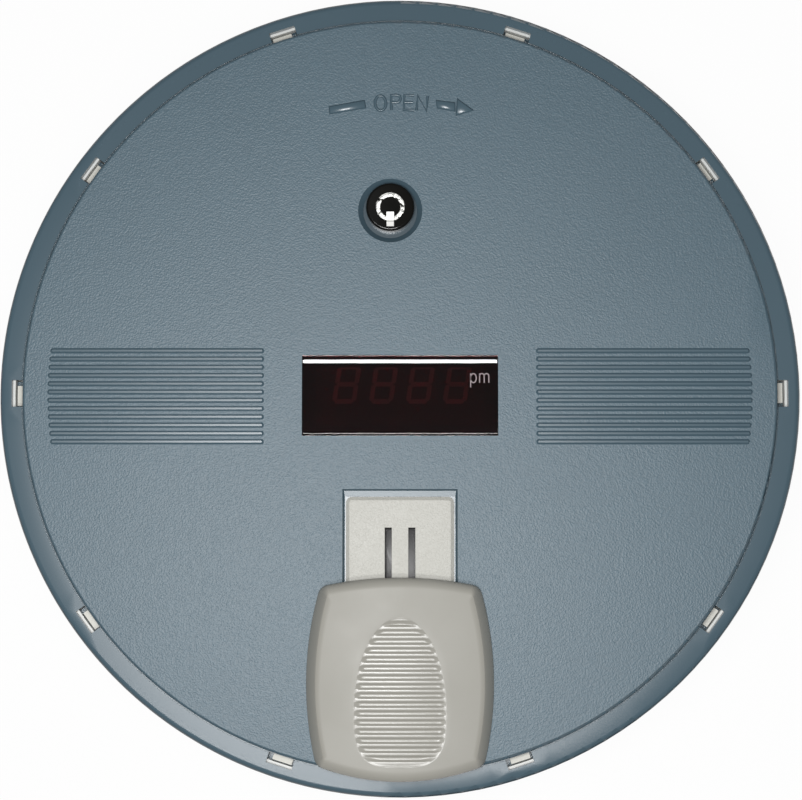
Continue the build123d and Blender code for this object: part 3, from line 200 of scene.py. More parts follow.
def cover_abs(look):
    """Blue-grey ABS. The raised top has a spark-eroded grain, drawn coarser than the real one.
    The rim, the recess and the dish come from the polished parts of the mould, so they shine more. Their
    colour is drawn darker as painted shade, and darker still on the dish's floor and the rim's outer edge,
    also painted shade.
    """
    finish, tree, shader, place = new_finish("blue_grey_moulded_abs", IOR=1.53)
    height = add_node(tree, "ShaderNodeSeparateXYZ", {"Vector": place}).outputs["Z"]
    textured = add_node(
        tree, "ShaderNodeMath", {0: height, 1: PLATE_TOP, 2: 0.05 * MM}, operation="COMPARE"
    ).outputs[0]
    grain = add_node(
        tree, "ShaderNodeTexNoise", {"Vector": place, "Scale": 1 / look.grain_pitch, "Detail": 1.0}
    ).outputs["Fac"]
    speckle = add_node(
        tree,
        "ShaderNodeMapRange",
        {
            "Value": grain,
            "From Min": 0.3,
            "From Max": 0.72,
            "To Min": 1 - look.speckle,
            "To Max": 1 + look.speckle,
        },
    ).outputs["Result"]
    # where the surface is polished, a painted shade takes the place of the grain's speckle and draws it
    # darker
    speckle = add_node(
        tree, "ShaderNodeMix", {"Factor": textured, 2: look.polished_painted_shade, 3: speckle}, data_type="FLOAT"
    ).outputs[0]
    flat = add_node(tree, "ShaderNodeVectorMath", {0: place, 1: (1, 1, 0)}, operation="MULTIPLY").outputs[0]
    radius = add_node(tree, "ShaderNodeVectorMath", {0: flat}, operation="LENGTH").outputs["Value"]
    # painted shade: the outer millimetre of the rim is drawn darker, down to this share at the very edge
    edge = add_node(
        tree,
        "ShaderNodeMapRange",
        {
            "Value": radius,
            "From Min": CAD_BOX[1].x - 0.9 * MM,
            "From Max": CAD_BOX[1].x - 0.3 * MM,
            "To Min": 1,
            "To Max": look.rim_edge_painted_shade,
        },
    ).outputs["Result"]
    # painted shade: the dish's floor round the lock is drawn darker, as if in the lock's shade
    dish_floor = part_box("lock_body")[1].z - 4 * MM
    dish = add_node(
        tree, "ShaderNodeMath", {0: height, 1: dish_floor, 2: 0.1 * MM}, operation="COMPARE"
    ).outputs[0]
    shadow = add_node(
        tree, "ShaderNodeMapRange", {"Value": dish, "To Min": 1, "To Max": look.dish_floor_painted_shade}
    ).outputs["Result"]
    # the grain's speckle, or the polished parts' painted shade, times the painted shades of the edge and
    # the dish
    shade = speckle
    for darker in (edge, shadow):
        shade = add_node(tree, "ShaderNodeMath", {0: shade, 1: darker}, operation="MULTIPLY").outputs[0]
    drift = mottle(tree, place, look.cover_colour, 0.035, 50 * MM)
    colour = add_node(
        tree, "ShaderNodeVectorMath", {0: drift, "Scale": shade}, operation="SCALE"
    ).outputs["Vector"]
    tree.links.new(colour, shader.inputs["Base Color"])
    rough = add_node(
        tree,
        "ShaderNodeMix",
        {"Factor": textured, 2: look.smooth_roughness, 3: look.grain_roughness},
        data_type="FLOAT",
    ).outputs[0]
    tree.links.new(rough, shader.inputs["Roughness"])
    raised = add_node(tree, "ShaderNodeMath", {0: grain, 1: textured}, operation="MULTIPLY").outputs[0]
    bump = add_node(
        tree, "ShaderNodeBump", {"Height": raised, "Distance": look.grain_depth, "Strength": 1.0}
    )
    tree.links.new(bump.outputs["Normal"], shader.inputs["Normal"])
    return finish


def dress(finish, *nodes):
    """Gives CAD nodes a finish, and shades their curved faces smooth while their corners stay sharp."""
    tree = bpy.data.node_groups.get("smooth_by_angle") or smooth_tree()
    for node in nodes:
        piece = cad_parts[node]
        for slot in piece.material_slots:
            slot.material = finish
        piece.modifiers.new("Smooth by angle", "NODES").node_group = tree
        piece.modifiers.new("Weighted normals", "WEIGHTED_NORMAL").keep_sharp = True


def smooth_tree():
    """A tree that joins loose triangles and marks only the edges over 30 degrees as sharp."""
    tree = bpy.data.node_groups.new("smooth_by_angle", "GeometryNodeTree")
    tree.interface.new_socket("Geometry", in_out="INPUT", socket_type="NodeSocketGeometry")
    tree.interface.new_socket("Geometry", in_out="OUTPUT", socket_type="NodeSocketGeometry")
    start = add_node(tree, "NodeGroupInput").outputs["Geometry"]
    joined = add_node(tree, "GeometryNodeMergeByDistance", {"Geometry": start, "Distance": 0.001 * MM})
    angle = add_node(tree, "GeometryNodeInputMeshEdgeAngle").outputs["Unsigned Angle"]
    sharp = add_node(
        tree,
        "FunctionNodeCompare",
        {0: angle, 1: math.radians(30)},
        data_type="FLOAT",
        operation="GREATER_THAN",
    ).outputs[0]
    faces = add_node(
        tree,
        "GeometryNodeSetShadeSmooth",
        {"Geometry": joined.outputs[0], "Shade Smooth": True},
        domain="FACE",
    )
    edges = add_node(
        tree,
        "GeometryNodeSetShadeSmooth",
        {"Geometry": faces.outputs[0], "Selection": sharp, "Shade Smooth": False},
        domain="EDGE",
    )
    add_node(tree, "NodeGroupOutput", {"Geometry": edges.outputs[0]})
    return tree


# ---------------------------------------------------------------- piece helpers
def new_piece(name, mesh, finish, body, replaces=()):
    """Links a mesh as a piece that rides on a body."""
    piece = bpy.data.objects.new(name, mesh)
    bpy.context.scene.collection.objects.link(piece)
    if finish is not None:
        mesh.materials.clear()
        mesh.materials.append(finish)
    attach(piece, body)
    if replaces:
        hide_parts(*replaces)
    return piece


def mesh_from(shape, name, smooth_angle=30):
    """Turns a bmesh into a mesh with its normals outwards and its corners sharp."""
    bmesh.ops.recalc_face_normals(shape, faces=shape.faces)
    mesh = bpy.data.meshes.new(name)
    shape.to_mesh(mesh)
    shape.free()
    mesh.shade_smooth()
    mesh.set_sharp_from_angle(angle=math.radians(smooth_angle))
    return mesh


def bridge(shape, rings, closed_ring=True):
    """Joins rows of vertices with quads."""
    for one, two in zip(rings, rings[1:]):
        count = len(one)
        for i in range(count if closed_ring else count - 1):
            j = (i + 1) % count
            shape.faces.new((one[i], one[j], two[j], two[i]))


def grown_mesh(name, tree, values, places):
    """The plain mesh that a geometry tree makes on those points with those input values."""
    points = bpy.data.meshes.new(f"{name}_points")
    points.from_pydata(places, [], [])
    holder = bpy.data.objects.new(name, points)
    bpy.context.scene.collection.objects.link(holder)
    modifier = holder.modifiers.new("Shape", "NODES")
    modifier.node_group = tree
    sockets = {
        item.name: item.identifier
        for item in tree.interface.items_tree
        if item.item_type == "SOCKET" and item.in_out == "INPUT"
    }
    for label, value in values.items():
        modifier[sockets[label]] = value
    bpy.context.view_layer.update()
    evaluated = holder.evaluated_get(bpy.context.evaluated_depsgraph_get())
    mesh = bpy.data.meshes.new_from_object(evaluated)
    holder.modifiers.clear()
    bpy.data.objects.remove(holder)
    mesh.name = name
    return mesh


def stroke_mesh(name, strokes, radius, resolution):
    """The mesh of round strokes along rows of points, each row with whether it closes on itself."""
    curve = bpy.data.curves.new(name, "CURVE")
    curve.dimensions = "3D"
    curve.bevel_depth = radius
    curve.bevel_resolution = resolution
    curve.use_fill_caps = True
    for places, closed in strokes:
        spline = curve.splines.new("POLY")
        spline.points.add(len(places) - 1)
        spline.use_cyclic_u = closed
        for point, place in zip(spline.points, places):
            point.co = (*place, 1)
    holder = bpy.data.objects.new(name, curve)
    bpy.context.scene.collection.objects.link(holder)
    mesh = bpy.data.meshes.new_from_object(holder.evaluated_get(bpy.context.evaluated_depsgraph_get()))
    bpy.data.objects.remove(holder)
    return mesh


def box_shell(shape, low, high):
    """Adds a closed box to a bmesh."""
    corners = [
        shape.verts.new((x, y, z))
        for z in (low[2], high[2])
        for y in (low[1], high[1])
        for x in (low[0], high[0])
    ]
    for ring in ((0, 2, 3, 1), (4, 5, 7, 6), (0, 1, 5, 4), (1, 3, 7, 5), (3, 2, 6, 7), (2, 0, 4, 6)):
        shape.faces.new([corners[i] for i in ring])


# ---------------------------------------------------------------- sizes and colours that a user may change
class DispenserLook(bpy.types.PropertyGroup):
    """Colours of the mouldings, the grain of the cover and the painted shades on its polished parts."""

    cover_colour: tint("Cover", "Blue-grey of the lid", "526874")
    base_colour: tint("Base", "Off-white of the base and of the door's track", "D3D2CA")
    door_colour: tint("Door", "Warm grey of the sliding door", "9F9D95")
    tray_colour: tint("Tray", "White of the carousel tray", "E4E4E0")
    grain_pitch: length("Grain pitch", "From one bump of the cover's grain to the next", 0.5)
    grain_depth: length("Grain depth", "How far the cover's grain stands out", 0.12)
    speckle: share("Speckle", "How much lighter and darker the grain's bumps are", 0.09)
    # painted shade: how much darker the polished surfaces are drawn than the grained top
    polished_painted_shade: share("Smooth shade", "Colour of the polished surfaces as a share of the top's", 0.85)
    # painted shade drawn on the rim's outer edge
    rim_edge_painted_shade: share("Rim shade", "Colour of the rim's outer edge as a share of the rim's", 0.4)
    # painted shade drawn on the dish's floor round the lock
    dish_floor_painted_shade: share("Dish shade", "Colour of the floor round the lock as a share of the rim's", 0.6)
    grain_roughness: share("Grain roughness", "Roughness of the grained top", 0.43)
    smooth_roughness: share("Smooth roughness", "Roughness of the polished rim and recesses", 0.26)


class DoorShape(bpy.types.PropertyGroup):
    """Sizes of the sliding door's cap."""

    edge_width: length("Edge width", "Width of the rounded front and back edges seen from above", 3.4)
    back_drop: length("Back drop", "Height of the rounded back edge", 3.4)
    front_drop: length("Front drop", "Height of the rounded front edge", 2.0)
    side_width: length("Side width", "Width of the sloping sides seen from above", 3.2)
    side_drop: length("Side drop", "Height of the sloping sides", 5.7)
    wave_depth: length("Wave depth", "Height of the finger grip's waves", 0.5)
    wave_pitch: length("Wave pitch", "From one wave of the grip to the next", 2.833)
    wave_fade: length("Wave fade", "How far inside the grip's border the waves reach full height", 2.4)
    rim_step: length("Rim step", "How far the grip lies below the cap", 0.08)


class DisplayShape(bpy.types.PropertyGroup):
    """Sizes of the digits and the lens."""

    digit_height: length("Digit height", "Height of a digit between its segments' middles", 11.2)
    digit_width: length("Digit width", "Width of a digit between its segments' middles", 6.3)
    digit_pitch: length("Digit pitch", "From one digit to the next", 12.0)
    segment_width: length("Segment width", "Width of one segment", 1.5)
    slant: turn("Slant", "Lean of the digits", 9)
    ramp_start: length("Ramp start", "From the window's back edge to the lens's ramp", 1.2)
    ramp_width: length("Ramp width", "Width of the lens's ramp", 1.1)
    ramp_drop: length("Ramp drop", "Height of the lens's ramp", 0.117)


class MarkShape(bpy.types.PropertyGroup):
    """Sizes of the raised opening mark."""

    radius: length("Radius", "From the lid's middle to the letters", 95.1)
    letter_height: length("Letter height", "Height of the letters' strokes", 4.9)
    stroke: length("Stroke", "Width of a letter's stroke", 1.0)
    rise: length("Rise", "How far the mark stands out of the lid", 0.5)


class StageLook(bpy.types.PropertyGroup):
    """Lights and camera."""

    key_power: FloatProperty(name="Key power", description="Watts of the soft box", default=2.6, min=0)
    key_width: length("Key width", "Width of the soft box", 200)
    key_depth: length("Key depth", "Depth of the soft box", 120)
    key_place: spot("Key place", "Middle of the soft box", (-40, -45, 650))
    front_power: FloatProperty(
        name="Front power", description="Watts of the narrow box", default=0.8, min=0
    )
    front_width: length("Front width", "Width of the narrow soft box in front of the other", 300)
    front_depth: length("Front depth", "Depth of the narrow soft box", 54)
    front_place: spot("Front place", "Middle of the narrow soft box", (-20, -195, 650))
    fill: share("Fill", "Strength of the light from all round", 0.16)
    camera_distance: length("Camera distance", "From the camera to the top of the lid", 697.3)
    camera_tilt: turn("Camera tilt", "Lean of the camera towards the door", 4.228)
    lens: FloatProperty(
        name="Lens", description="Focal length in mm on a 36 mm sensor", default=96.8, min=10
    )


# ---------------------------------------------------------------- the lid's cover
class DressCover(bpy.types.Operator):
    """Gives the lid's plate and rim their grained and polished blue-grey ABS."""

    bl_idname = "dispenser.cover"
    bl_label = "Cover"

    def execute(self, context):
        dress(cover_abs(context.scene.dispenser_look), "lid_plate", "lid_rim")
        # acetal: a waxy white ring that the lid turns on
        dress(
            moulded("white_moulded_acetal", linear("DEDFDC"), 0.5 * MM, 0.01 * MM, 0.35), "lid_glide_ring"
        )
        return {"FINISHED"}


# the strokes of each letter, as shares of its height
LETTERS = {
    "O": [[(math.sin(i * math.pi / 12) * 0.36, math.cos(i * math.pi / 12) * 0.5) for i in range(24)]],
    "P": [
        [
            (-0.3, -0.5), (-0.3, 0.5), (0.06, 0.5), (0.2, 0.47), (0.29, 0.38), (0.31, 0.25), (0.28, 0.12),
            (0.19, 0.03), (0.06, 0.0), (-0.3, 0.0),
        ]
    ],
    "E": [[(0.32, 0.5), (-0.32, 0.5), (-0.32, -0.5), (0.34, -0.5)], [(-0.32, 0.01), (0.28, 0.01)]],
    "N": [[(-0.33, -0.5), (-0.33, 0.5), (0.33, -0.5), (0.33, 0.5)]],
}
# how far along the circle each letter stands, in mm
LETTER_PLACES = (("O", -6.4), ("P", -1.4), ("E", 2.9), ("N", 7.2))
# the corners of the arrow's two bars and its head, in mm
BARS = (
    ((-23.4, 93.9), (-11.5, 96.0), (-11.0, 93.2), (-23.1, 91.1)),
    ((11.6, 96.0), (18.1, 95.2), (18.1, 92.0), (12.0, 93.1)),
    ((18.6, 96.6), (24.2, 92.5), (18.1, 90.6)),
)


def inset_outline(outline, distance):
    """A convex outline, given clockwise, drawn in by that much."""
    count = len(outline)
    drawn = []
    for i in range(count):
        before, here, after = (Vector(outline[j % count]) for j in (i - 1, i, i + 1))
        first = (here - before).normalized()
        second = (after - here).normalized()
        inward = Vector((first.y, -first.x)) + Vector((second.y, -second.x))
        drawn.append(here + inward * (distance / (1 + first.dot(second))))
    return drawn


def raised_patch(shape, outline, rise):
    """Adds a flat-topped raised patch with sloping sides that starts a little inside the plate."""
    rings = []
    for inset, height in ((0, -0.1 * MM), (0, 0), (1.1 * rise, rise)):
        rings.append([shape.verts.new((*p, PLATE_TOP + height)) for p in inset_outline(outline, inset)])
    bridge(shape, rings)
    shape.faces.new(rings[0])
    shape.faces.new(rings[-1])


class AddOpenMark(bpy.types.Operator):
    """Adds the raised arrow and letters that say which way the lid opens."""

    bl_idname = "dispenser.open_mark"
    bl_label = "Opening mark"

    def execute(self, context):
        mark = context.scene.dispenser_mark
        strokes = []
        for letter, place in LETTER_PLACES:
            angle = place * MM / mark.radius
            across = Vector((math.cos(angle), -math.sin(angle), 0))
            up = Vector((math.sin(angle), math.cos(angle), 0))
            middle = up * mark.radius + Vector((0, 0, PLATE_TOP + mark.rise - mark.stroke / 2))
            for stroke in LETTERS[letter]:
                places = [middle + (across * x + up * y) * mark.letter_height for x, y in stroke]
                strokes.append((places, letter == "O"))
        shape = bmesh.new()
        shape.from_mesh(stroke_mesh("letter_strokes", strokes, mark.stroke / 2, 3))
        for outline in BARS:
            raised_patch(shape, [(x * MM, y * MM) for x, y in outline], mark.rise)
        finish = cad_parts["lid_plate"].material_slots[0].material
        new_piece("open_mark", mesh_from(shape, "open_mark", smooth_angle=50), finish, "lid")
        return {"FINISHED"}


# ---------------------------------------------------------------- the sliding door
DOOR_LOW, DOOR_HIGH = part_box("door_cap")
DOOR_BOTTOM = PLATE_TOP + 0.3 * MM
DOOR_FRONT = DOOR_LOW.y
DOOR_BACK = DOOR_HIGH.y
CROWN_RADIUS = 200 * MM
CORNER_ROUND = 4 * MM
GRIP_MIDDLE = DOOR_FRONT + 22.6 * MM
GRIP_HALF_WIDTH = 14.7 * MM
GRIP_BACK = 29.2 * MM
GRIP_FRONT = 18.0 * MM
WAVE_START = DOOR_FRONT + 5.97 * MM
DOOR_WALL = 4.6 * MM
DOOR_ROOF = 4.8 * MM
# the two blades that run in the track's cuts, and their feet
BLADE_ACROSS = 3.8 * MM
BLADE_PLACE = DOOR_BACK - 11.4 * MM
BLADE_HALF_WIDTH = 0.9 * MM
BLADE_HALF_LENGTH = 2.0 * MM
FOOT_HALF_WIDTH = 1.6 * MM
FOOT_HEIGHT = 0.8 * MM
# how far in front of the track's back edge the slide ends
SLIDE_SHORT = 10 * MM
# how finely the cap is drawn
ROW_STEP = 0.18 * MM
GRIP_COLUMNS = 36
EDGE_STEPS = 12
CAP_ROWS = 8
OUTLINE_POINTS = 1440


def circle_through(one, two, three):
    """Centre and radius of the circle through three points."""
    (ax, ay), (bx, by), (cx, cy) = one, two, three
    twice = 2 * (ax * (by - cy) + bx * (cy - ay) + cx * (ay - by))
    a, b, c = ax * ax + ay * ay, bx * bx + by * by, cx * cx + cy * cy
    centre = Vector(
        (
            (a * (by - cy) + b * (cy - ay) + c * (ay - by)) / twice,
            (a * (cx - bx) + b * (ax - cx) + c * (bx - ax)) / twice,
        )
    )
    return centre, (Vector(one) - centre).length


def circles_meet(first, second, near):
    """Where two circles, each a centre and a radius, cross nearest to a point."""
    (p, r), (q, s) = first, second
    apart = (q - p).length
    along = (apart * apart + r * r - s * s) / (2 * apart)
    off = math.sqrt(r * r - along * along)
    way = (q - p) / apart
    side = Vector((-way.y, way.x))
    crossings = (p + way * along + side * off, p + way * along - side * off)
    return min(crossings, key=lambda point: (point - Vector(near)).length)


def door_sections():
    """The door's outline as arcs and rounded corners: centre, radius and the angles each spans."""
    back_corner = (25.6 * MM, DOOR_BACK - 2.8 * MM)
    front_corner = (26.9 * MM, DOOR_FRONT + 4.8 * MM)
    widest = (30.0 * MM, DOOR_FRONT + 34.5 * MM)

    def mirrored(point):
        return (-point[0], point[1])

    arcs = [
        circle_through(mirrored(front_corner), (0, DOOR_FRONT), front_corner),
        circle_through(front_corner, widest, back_corner),
        circle_through(back_corner, (0, DOOR_BACK), mirrored(back_corner)),
        circle_through(mirrored(back_corner), mirrored(widest), mirrored(front_corner)),
    ]
    corners = (front_corner, back_corner, mirrored(back_corner), mirrored(front_corner))
    turns = []
    for i in range(4):
        inner = [(arcs[j % 4][0], arcs[j % 4][1] - CORNER_ROUND) for j in (i, i + 1)]
        turns.append(circles_meet(*inner, corners[i]))
    sections = []
    for i in range(4):
        centre, radius = arcs[i]
        sections.append([centre, radius, turns[i - 1] - centre, turns[i] - centre])
        sections.append([turns[i], CORNER_ROUND, turns[i] - centre, turns[i] - arcs[(i + 1) % 4][0]])
    return [
        (
            centre,
            radius,
            math.atan2(a.y, a.x),
            (math.atan2(b.y, b.x) - math.atan2(a.y, a.x)) % (2 * math.pi),
        )
        for centre, radius, a, b in sections
    ]


def door_outline(count):
    """Evenly spaced points of the outline, each with the way outwards from it."""
    sections = door_sections()
    around = sum(radius * span for _, radius, _, span in sections)
    points = []
    for i in range(count):
        left = around * i / count
        for centre, radius, start, span in sections:
            if left <= radius * span:
                break
            left -= radius * span
        angle = start + left / radius
        outwards = Vector((math.cos(angle), math.sin(angle)))
        points.append((centre + outwards * radius, outwards))
    return points


def outline_at(angles):
    """Where rays from the grip's middle at those angles cross the outline, with the way outwards there."""
    marks = sorted(
        (
            (math.atan2(point.y - GRIP_MIDDLE, point.x), point, outwards)
            for point, outwards in door_outline(OUTLINE_POINTS)
        ),
        key=lambda mark: mark[0],
    )
    starts = [mark[0] for mark in marks]
    whole = 2 * math.pi
    crossings = []
    for angle in angles:
        k = bisect.bisect(starts, angle) % len(marks)
        (before, one, first), (after, two, second) = marks[k - 1], marks[k]
        part = ((angle - before) % whole) / ((after - before) % whole)
        crossings.append((one.lerp(two, part), first.lerp(second, part).normalized()))
    return crossings


def grip_reach(y):
    """How far the egg-shaped grip reaches along Y on that side of its widest line, and how blunt it is."""
    return (GRIP_BACK, 2.0) if y > 0 else (GRIP_FRONT, 3.3)


def grip_half_width(y):
    """Half the grip's width at that distance behind its widest line."""
    reach, bluntness = grip_reach(y)
    return GRIP_HALF_WIDTH * (1 - (abs(y) / reach) ** bluntness) ** (1 / bluntness)


def grip_inside(x, y):
    """How far a point of the grip is inside its border, along the line from the grip's middle."""
    reach, bluntness = grip_reach(y)
    out = ((abs(x) / GRIP_HALF_WIDTH) ** bluntness + (abs(y) / reach) ** bluntness) ** (1 / bluntness)
    return math.hypot(x, y) * (1 / out - 1) if out > 0.01 else GRIP_HALF_WIDTH


class AddDoor(bpy.types.Operator):
    """Adds the sliding door's cap with its sloping sides, crowned top and waved finger grip."""

    bl_idname = "dispenser.door"
    bl_label = "Door"

    def execute(self, context):
        look = context.scene.dispenser_look
        sizes = context.scene.dispenser_door
        top = DOOR_HIGH.z
        shape = bmesh.new()

        def crown(x):
            return top - CROWN_RADIUS + math.sqrt(CROWN_RADIUS**2 - x * x)

        def grip_height(x, y):
            """The waved grip's height: flat crests, steep sides, fading out at the border."""
            inside = max(grip_inside(x, y), 0)
            fade = min(1, inside / sizes.wave_fade)
            fade = fade * fade * (3 - 2 * fade)
            phase = 2 * math.pi * (GRIP_MIDDLE + y - WAVE_START) / sizes.wave_pitch
            wave = 0.5 - 0.5 * math.tanh(2 * math.cos(phase)) / math.tanh(2)
            step = sizes.rim_step * min(1, inside / (0.5 * MM))
            return crown(x) - step - sizes.wave_depth * fade * wave

        # the grip: rows across it, each from border to border
        margin = 0.06 * MM
        count = round((GRIP_BACK + GRIP_FRONT - 2 * margin) / ROW_STEP)
        grip = []
        for i in range(count + 1):
            y = margin - GRIP_FRONT + (GRIP_BACK + GRIP_FRONT - 2 * margin) * i / count
            half = grip_half_width(y)
            row = []
            for j in range(GRIP_COLUMNS + 1):
                x = half * math.sin(math.pi * (j / GRIP_COLUMNS - 0.5))
                row.append(shape.verts.new((x, GRIP_MIDDLE + y, grip_height(x, y))))
            grip.append(row)
        bridge(shape, grip, closed_ring=False)
        for face in shape.faces:
            face.material_index = 1
        # its border, anticlockwise from the front of its right side
        right, left = [row[-1] for row in grip], [row[0] for row in reversed(grip)]
        border = right + grip[-1][-2:0:-1] + left + grip[0][1:-1]
        outline = outline_at([math.atan2(vert.co.y - GRIP_MIDDLE, vert.co.x) for vert in border])

        def ring(inset, height):
            return [(*(point - outwards * inset), height) for point, outwards in outline]

        rows = [ring(DOOR_WALL, top - DOOR_ROOF), ring(DOOR_WALL, DOOR_BOTTOM), ring(0, DOOR_BOTTOM)]
        for k in range(EDGE_STEPS + 1):
            angle = math.radians(90) * k / EDGE_STEPS
            row = []
            for point, outwards in outline:
                side = abs(outwards.x) ** 1.5
                end_drop = sizes.back_drop if outwards.y > 0 else sizes.front_drop
                width = sizes.edge_width + (sizes.side_width - sizes.edge_width) * side
                drop = end_drop + (sizes.side_drop - end_drop) * side
                power = 2 / (1.9 - 0.75 * side)
                p = point - outwards * (width * (1 - max(math.cos(angle), 0) ** power))
                row.append((p.x, p.y, crown(p.x) - drop * (1 - math.sin(angle) ** power)))
            rows.append(row)
        edge = rows[-1]
        for k in range(1, CAP_ROWS):
            part = k / CAP_ROWS
            row = []
            for (x, y, _), vert in zip(edge, border):
                px = x * (1 - part) + vert.co.x * part
                row.append((px, y * (1 - part) + vert.co.y * part, crown(px)))
            rows.append(row)
        rings = [[shape.verts.new(p) for p in row] for row in rows] + [border]
        bridge(shape, rings)
        shape.faces.new(rings[0])
        y = BLADE_PLACE
        half = BLADE_HALF_LENGTH
        foot = DOOR_LOW.z + FOOT_HEIGHT
        for x in (-BLADE_ACROSS, BLADE_ACROSS):
            # each part reaches a little into the next
            for half_width, low, high in (
                (BLADE_HALF_WIDTH, foot - 0.1 * MM, top - DOOR_ROOF + 0.6 * MM),
                (FOOT_HALF_WIDTH, DOOR_LOW.z, foot),
            ):
                box_shell(shape, (x - half_width, y - half, low), (x + half_width, y + half, high))
        # ABS moulded in a fine-blasted mould, so its sheen is satin and even
        finish = moulded("warm_grey_moulded_abs", look.door_colour, 0.35 * MM, 0.012 * MM, 0.5, 0.03)
        # the same plastic where the mould was polished, glossy enough to shine on its crests
        polished = moulded("polished_grey_moulded_abs", look.door_colour, 2 * MM, 0.003 * MM, 0.27, 0.02)
        mesh = mesh_from(shape, "door", smooth_angle=40)
        for made in (finish, polished):
            mesh.materials.append(made)
        new_piece("door", mesh, None, "door", ["door_cap"])
        dress(finish, "door_shutter")
        self.add_slide()
        return {"FINISHED"}

    def add_slide(self):
        """The long slide under the track: it holds the door down, and reaches under the cuts drawn black as
        painted shade there.
        """
        low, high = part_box("door_retainer")
        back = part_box("track_plate")[1].y - SLIDE_SHORT
        shape = bmesh.new()
        box_shell(shape, low, (high.x, max(high.y, back), high.z))
        uprights = [edge for edge in shape.edges if abs(edge.verts[0].co.z - edge.verts[1].co.z) > 0.5 * MM]
        bmesh.ops.bevel(shape, geom=uprights, offset=2 * MM, segments=6, profile=0.5, affect="EDGES")
        rims = [edge for edge in shape.edges if abs(edge.verts[0].co.z - edge.verts[1].co.z) < 0.01 * MM]
        bmesh.ops.bevel(shape, geom=rims, offset=0.3 * MM, segments=2, profile=0.5, affect="EDGES")
        # acetal, so it slides without grease; drawn black as painted shade in the track's cuts
        acetal = moulded("black_acetal_painted_shade", linear("2C2B2C"), 0.5 * MM, 0.02 * MM, 0.35)
        new_piece(
            "door_slide", mesh_from(shape, "door_slide"), acetal, "door", ["door_retainer"]
        )


# ---------------------------------------------------------------- the door's track
# how far the recess reaches past the track's plate, and how deep its ledge is
RECESS_BEHIND = 2.5 * MM
RECESS_BESIDE = 1.15 * MM
LEDGE_DEPTH = 1.2 * MM


class AddTrack(bpy.types.Operator):
    """Dresses the track's plate and adds the lining round its recess."""

    bl_idname = "dispenser.track"
    bl_label = "Door track"

    def execute(self, context):
        look = context.scene.dispenser_look
        # ABS like the base, with a grain that shows as pale and dark dots
        finish = moulded(
            "off_white_grained_abs", [0.82 * c for c in look.base_colour], 0.6 * MM, 0.24 * MM, 0.42, 0.05
        )
        dress(finish, "track_plate")
        low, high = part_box("track_plate")
        back = high.y + RECESS_BEHIND
        half = high.x + RECESS_BESIDE
        foot = low.z - 0.1 * MM
        ledge = PLATE_TOP - LEDGE_DEPTH
        # the lining's section: how far in from the recess's sides and from its back, and the height
        section = (
            (-0.05 * MM, -0.05 * MM, foot),
            (-0.05 * MM, -0.05 * MM, PLATE_TOP - 0.02 * MM),
            (0.03 * MM, 0.03 * MM, PLATE_TOP - 0.02 * MM),
            (0.5 * MM, 0.55 * MM, ledge),
            (0.75 * MM, 2.35 * MM, ledge - 0.19 * MM),
            (0.75 * MM, 2.35 * MM, foot),
        )
        shape = bmesh.new()
        rings = []
        for side, at_back in ((-1, False), (-1, True), (1, True), (1, False)):
            rings.append(
                [
                    shape.verts.new(
                        (side * (half - across), back - along if at_back else low.y - 0.3 * MM, z)
                    )
                    for across, along, z in section
                ]
            )
        bridge(shape, rings)
        shape.faces.new(rings[0])
        shape.faces.new(rings[-1])
        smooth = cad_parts["lid_plate"].material_slots[0].material
        new_piece("track_lining", mesh_from(shape, "track_lining"), smooth, "lid")
        return {"FINISHED"}


# ---------------------------------------------------------------- the display
LENS_LOW, LENS_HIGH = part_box("display_lens")
LENS_HALF_WIDTH = 31.5 * MM
LENS_HALF_DEPTH = 12.9 * MM
LENS_FLANGE = 1.5 * MM
LENS_CHAMFER = 0.25 * MM
LENS_ROUND = 0.7 * MM
# middle of the sign's letters, in mm
SIGN_PLACE = (25.8, 4.9)


def rectangle(low, high, border=0):
    """The four corners of a box seen from above, drawn in by a border."""
    left, front = low.x + border, low.y + border
    right, back = high.x - border, high.y - border
    return ((left, front), (right, front), (right, back), (left, back))


def smoked_acrylic():
    """Polished acrylic, dyed a deep smoky red that hides what is unlit behind it."""
    finish, tree, shader, _ = new_finish(
        "smoky_red_polished_acrylic", IOR=1.49, Roughness=0.02, Transmission_Weight=1.0
    )
    shader.inputs["Base Color"].default_value = solid(linear("804A4C"))
    clear = add_node(tree, "ShaderNodeBsdfTransparent", {"Color": solid(linear("804A4C"))})
    shadow = add_node(tree, "ShaderNodeLightPath").outputs["Is Shadow Ray"]
    mix = add_node(tree, "ShaderNodeMixShader", {0: shadow, 1: shader.outputs[0], 2: clear.outputs[0]})
    output = next(n for n in tree.nodes if n.bl_idname == "ShaderNodeOutputMaterial")
    tree.links.new(mix.outputs[0], output.inputs["Surface"])
    return finish


